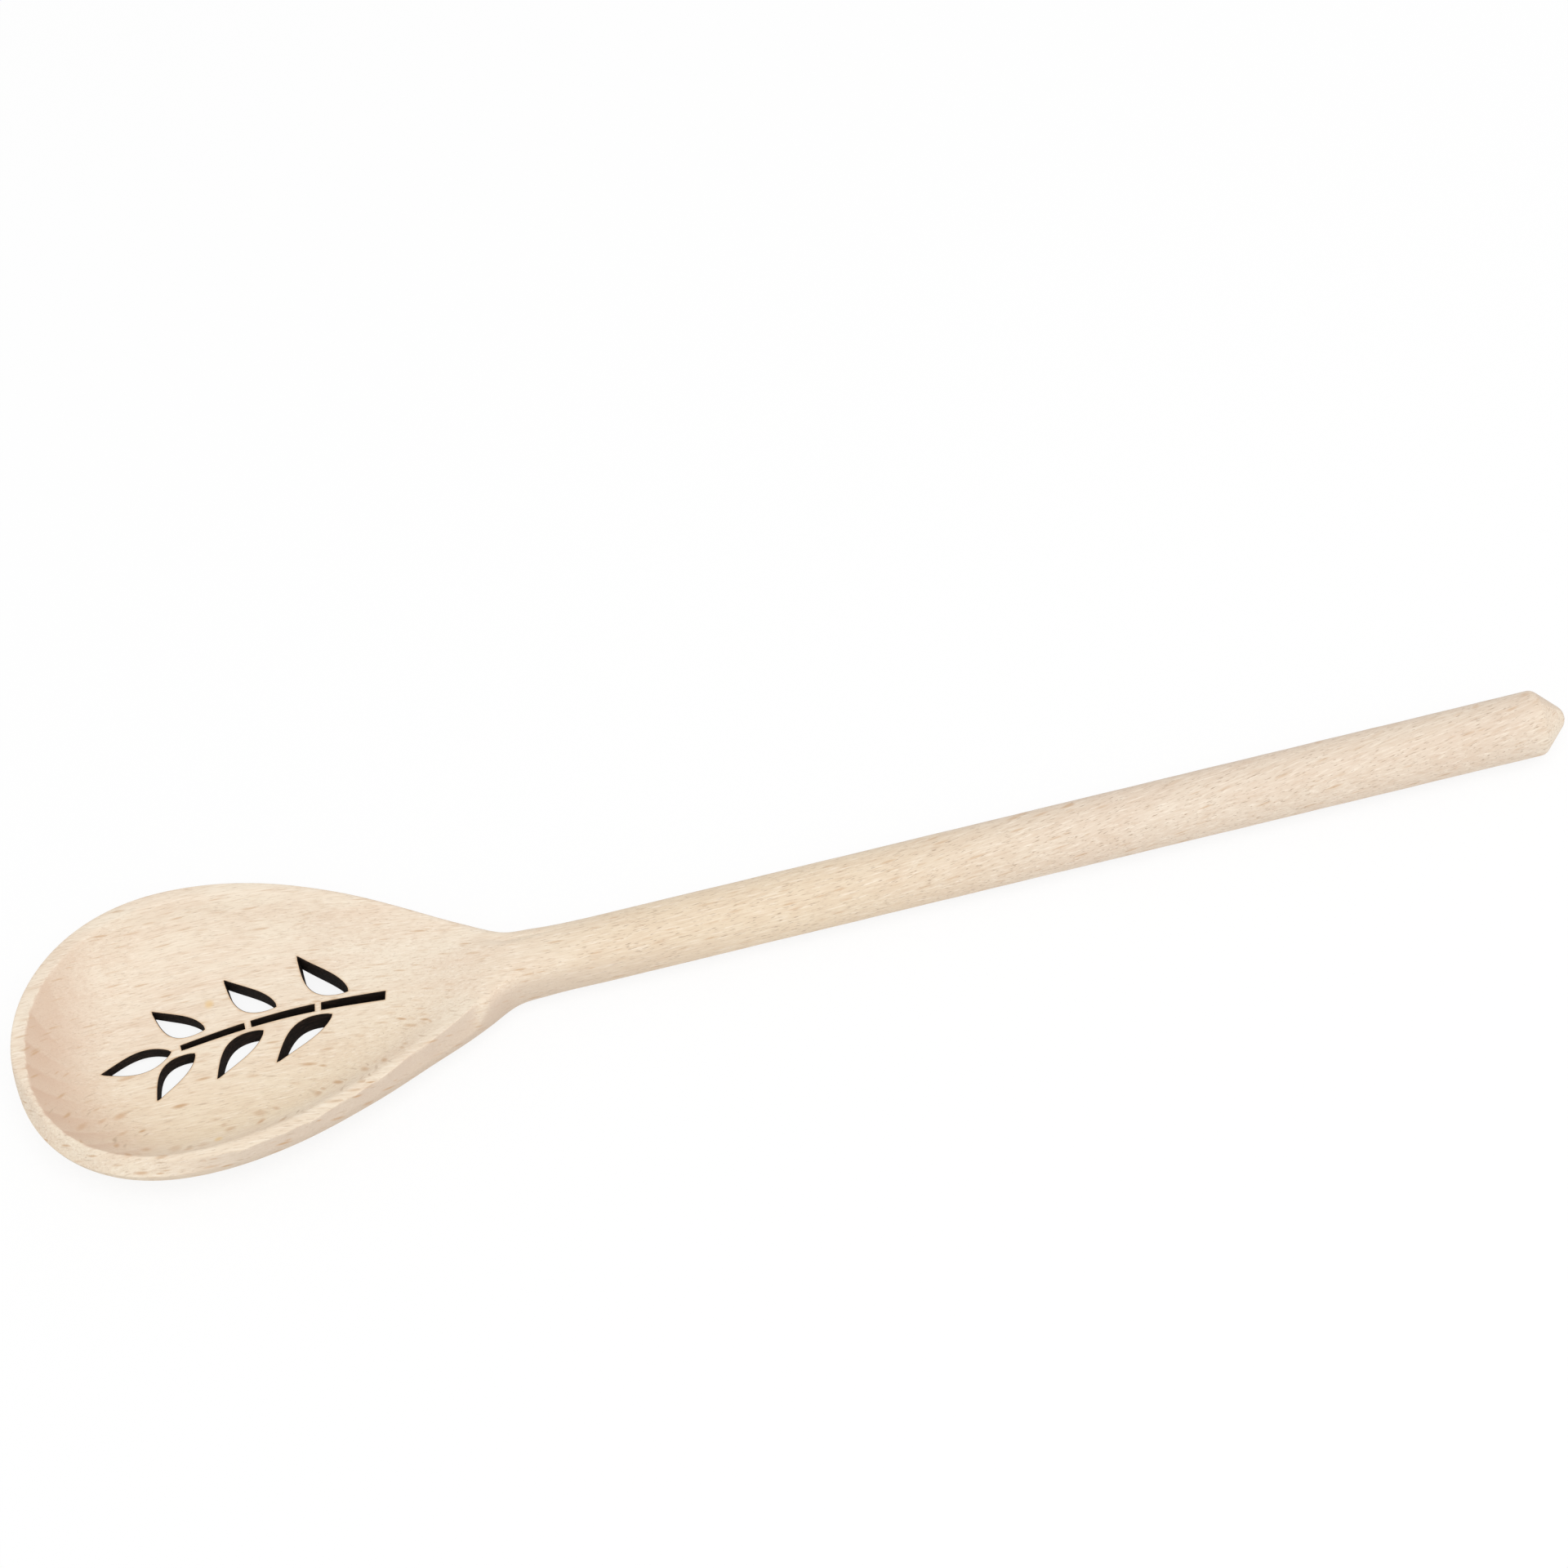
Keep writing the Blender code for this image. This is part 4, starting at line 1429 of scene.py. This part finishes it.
    def soot(self, x: np.ndarray, y: np.ndarray, height: np.ndarray) -> np.ndarray:
        """Soot near the cuts, as bells over the distance: one all round, a wide one at one end below.

        Args:
            x: places along the spoon.
            y: places across, from the handle's axis.
            height: heights from that axis.

        Returns:
            The soot at each place, up to 1.
        """
        first, last = self.sooted
        near = (np.abs(y) < self.carving.half_width) & (x > first) & (x < last)
        distance = np.full(len(x), FAR_AWAY)
        distance[near] = self.sprig.distance(np.stack((x[near], y[near]), axis=1))
        halo = self.soot_strength * np.exp(-((distance / self.soot_reach) ** 2))
        end = self.sprig.outlines()[-1][self.sprig.points]
        from_end = np.hypot(x - end[0] + self.scorch_reach * self.scorch_offset, y - end[1])
        below = ease(-height, *self.scorch_depth)
        return np.maximum(halo, below * np.exp(-((from_end / self.scorch_reach) ** 2)))

    def marks(self, mesh: bpy.types.Mesh) -> None:
        """Write the end grain, the painted shade on steep sides and on the tip's cut wall, and the soot
        on the mesh's points.

        Args:
            mesh: the finished bowl.
        """
        form = self.carving
        points, normals = read_points(mesh, "co"), read_points(mesh, "normal")
        x = points[:, 0] - form.tip
        y, height = points[:, 1] - form.axis[0], points[:, 2] - form.axis[1]
        # The tip's cut wall gets painted shade: most round the near side of the tip, with a step of shade
        # at each facet.
        facet, turn, out = form.facet_turn(x, y - form.middle(x))
        round_tip = ease(np.cos(turn - self.milled_centre), *self.milled_turn)
        wall = ease(out, *self.milled_share) * (out < 1.0) * round_tip
        passed = facet - np.floor(facet)
        facet_shade = passed**self.facet_power * (1.0 - ease(passed, *self.facet_end)) - self.facet_mean
        mean, more = self.wall_shade_levels
        wall_shade_tone = mean + more * facet_shade * ease(out, *self.facet_share)
        crossed = ease(np.abs(normals[:, 0]), *self.crossed_grain) * (x < form.neck)
        crossed = crossed * np.where(out < 1.0, 1.0, ease(x, *form.tip_pale))
        write_mark(mesh, Mark.END_GRAIN, crossed)
        # Painted shade on steep sides.
        write_mark(mesh, Mark.SIDE_SHADE, form.painted_side_shade(points, normals))
        write_mark(mesh, Mark.WALL_SHADE, wall * wall_shade_tone * ease(normals[:, 2], *self.milled_level))
        write_mark(mesh, Mark.SOOT, self.soot(x, y, height))

    def build(self, wood: bpy.types.Material, char: bpy.types.Material) -> bpy.types.Object:
        """Make the piece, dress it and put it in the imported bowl's place.

        Args:
            wood: the bare wood's finish.
            char: the finish of the cuts' walls.

        Returns:
            The piece.
        """
        mesh = self.pierce(self.shell(), wood, char)
        shade(mesh)
        self.marks(mesh)
        piece = new_piece(self.name, mesh)
        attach(piece, "root")
        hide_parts(Part.BOWL.value)
        return piece


@dataclass
class Handle:
    """The turned handle: a spigot hidden in the neck, a straight grip and a blunt cone.

    The wave rates are in radians per metre, and the wave's end is measured back from the handle's end.
    """

    carving: Carving
    spigot_radius: float = 0.0035
    spigot_chamfer: float = 0.0006
    point_angle: float = math.radians(45.0)
    nose_radius: float = 0.0029
    shoulder_radius: float = 0.0020
    grip_rows: int = 170
    arc_rows: int = 14
    segments: int = 128
    waviness: float = 0.00002
    wave_rates: Span = (410.0, 173.0)
    wave_start: float = 0.010
    wave_end: Span = (0.012, 0.008)
    name: str = "spoon_handle"

    def profile(self) -> np.ndarray:
        """The handle's half section: spigot, seat, straight grip, round shoulder, cone and round nose.

        Returns:
            The points (x, radius).
        """
        form = self.carving
        spigot_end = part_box(Part.HANDLE.value)[0].x - form.tip
        nose = form.length - self.nose_radius
        apex = nose + self.nose_radius / math.sin(self.point_angle)
        corner = apex - form.radius / math.tan(self.point_angle)
        arc = self.shoulder_radius
        soft_start = corner - arc * math.tan(self.point_angle / 2)
        spigot = np.array(
            (
                (spigot_end, 0.0),
                (spigot_end, self.spigot_radius - self.spigot_chamfer),
                (spigot_end + self.spigot_chamfer, self.spigot_radius),
                (form.joint, self.spigot_radius),
            )
        )
        grip_x = np.linspace(form.joint, soft_start, self.grip_rows, endpoint=False)
        grip = np.stack((grip_x, np.full_like(grip_x, form.radius)), axis=1)
        turn = np.linspace(0.0, self.point_angle, self.arc_rows)
        shoulder = np.stack(
            (soft_start + arc * np.sin(turn), form.radius - arc * (1 - np.cos(turn))), axis=1
        )
        turn = np.linspace(math.pi / 2 - self.point_angle, 0.0, self.arc_rows)
        end = np.stack((nose + self.nose_radius * np.cos(turn), self.nose_radius * np.sin(turn)), axis=1)
        end[-1, 1] = 0.0
        return np.concatenate((spigot, grip, shoulder, end))

    def build(self, wood: bpy.types.Material) -> bpy.types.Object:
        """Make the piece: the profile turned about the handle's axis, with a waviness from sanding.

        The waviness is the product of two sines along the grip, whose phases turn with the angle.

        Args:
            wood: the bare wood's finish.

        Returns:
            The piece.
        """
        form = self.carving
        x, radius = self.profile().T
        angle = np.linspace(0.0, math.tau, self.segments + 1)[None, :]
        x, radius = x[:, None], radius[:, None]
        fast, slow = self.wave_rates
        wave = np.sin(x * fast + np.sin(angle)) * np.sin(x * slow + 2.0 * angle)
        end, past_end = (form.length - before for before in self.wave_end)
        fade = ease(x, form.joint, form.joint + self.wave_start) * (1.0 - ease(x, end, past_end))
        radius = radius - self.waviness * (1.0 + wave) * fade
        points = form.place(x + 0.0 * angle, radius * np.sin(angle), radius * np.cos(angle))
        mesh = bpy.data.meshes.new(self.name)
        mesh.from_pydata(points.reshape(-1, 3).tolist(), [], grid_faces(*points.shape[:2]).tolist())
        close(mesh)
        mesh.materials.append(wood)
        shade(mesh)
        points, normals = read_points(mesh, "co"), read_points(mesh, "normal")
        # Painted shade on the handle's steep sides, fading on the near side towards the end.
        write_mark(mesh, Mark.SIDE_SHADE, form.painted_side_shade(points, normals))
        piece = new_piece(self.name, mesh)
        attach(piece, "root")
        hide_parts(Part.HANDLE.value)
        return piece


@dataclass
class Studio:
    """A plain white floor, soft even light and the photographed view.

    The eye is in the spoon's own coordinates, and the lamp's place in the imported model's frame.
    """

    carving: Carving
    focal_length: float = 80.128
    sensor: float = 36.0
    clip: Span = (0.01, 50.0)
    eye: Triple = (0.144212, -0.361556, 0.551627)
    right: Triple = (0.972028, -0.199453, -0.124015)
    up: Triple = (0.234454, 0.792839, 0.562528)
    floor_size: float = 12.0
    floor_colour: float = 0.92
    floor_glow: float = 0.85
    sky: float = 0.70
    lamp_place: Triple = (0.16, -0.45, 1.24)
    lamp_size: float = 1.2
    lamp_watts: float = 8.75

    def camera(self) -> None:
        """Stand the camera where the photograph was taken from, with the same view."""
        data = bpy.data.cameras.new("camera")
        data.lens = self.focal_length
        data.sensor_width = self.sensor
        data.clip_start, data.clip_end = self.clip
        right, up = Vector(self.right).normalized(), Vector(self.up).normalized()
        turn = Matrix((right, up, right.cross(up))).transposed()
        eye = self.carving.place(*(np.array(value) for value in self.eye))
        camera = new_piece("camera", data)
        camera.matrix_world = Matrix.Translation(Vector(eye)) @ turn.to_4x4()
        bpy.context.scene.camera = camera

    def floor(self) -> None:
        """A wide white floor that takes the spoon's shadow and is seen as white elsewhere."""
        half = self.floor_size / 2
        mesh = bpy.data.meshes.new("floor")
        corners = [(-half, -half, 0.0), (half, -half, 0.0), (half, half, 0.0), (-half, half, 0.0)]
        mesh.from_pydata(corners, [], [(0, 1, 2, 3)])
        shader = Shader(bpy.data.materials.new("floor_white"))
        seen = Value(shader, shader.node("ShaderNodeLightPath").outputs["Is Camera Ray"])
        diffuse = shader.node("ShaderNodeBsdfDiffuse", {}, {"Color": (*(self.floor_colour,) * 3, 1.0)})
        glow = shader.node("ShaderNodeEmission", {}, {"Strength": 1.0})
        inputs = {"Fac": seen * self.floor_glow, 1: diffuse.outputs[0], 2: glow.outputs[0]}
        both = shader.node("ShaderNodeMixShader", {}, inputs)
        shader.node("ShaderNodeOutputMaterial", {}, {"Surface": both.outputs[0]})
        mesh.materials.append(shader.owner)
        new_piece("floor", mesh)

    def light(self) -> None:
        """An even white sky and one large soft lamp above, on the camera's side."""
        shader = Shader(bpy.data.worlds.new("sky"))
        seen = Value(shader, shader.node("ShaderNodeLightPath").outputs["Is Camera Ray"])
        inputs = {"Color": (1.0, 1.0, 1.0, 1.0), "Strength": seen * (1.0 - self.sky) + self.sky}
        background = shader.node("ShaderNodeBackground", {}, inputs)
        shader.node("ShaderNodeOutputWorld", {}, {"Surface": background.outputs[0]})
        bpy.context.scene.world = shader.owner
        data = bpy.data.lights.new("soft_lamp", "AREA")
        data.shape = "DISK"
        data.size = self.lamp_size
        data.energy = self.lamp_watts
        lamp = new_piece("soft_lamp", data)
        lamp.location = self.lamp_place
        lamp.rotation_euler = (-Vector(self.lamp_place)).to_track_quat("-Z", "Y").to_euler()

    def build(self) -> None:
        """Set up the stage and the plain view transform."""
        self.camera()
        self.floor()
        self.light()
        bpy.context.scene.view_settings.view_transform = "Standard"


def main() -> None:
    """Build the spoon and its stage, and report each piece."""
    logging.basicConfig(level=logging.INFO, format="%(message)s")
    log = logging.getLogger("spoon")
    carving = Carving.from_frame()
    Studio(carving).build()
    wood, char = Beech().material(carving), Char().material()
    for piece in (Bowl(carving, Sprig(carving)).build(wood, char), Handle(carving).build(wood)):
        piece.data.calc_loop_triangles()
        log.info("%s: %d triangles", piece.name, len(piece.data.loop_triangles))


if __name__ == "__main__":
    main()
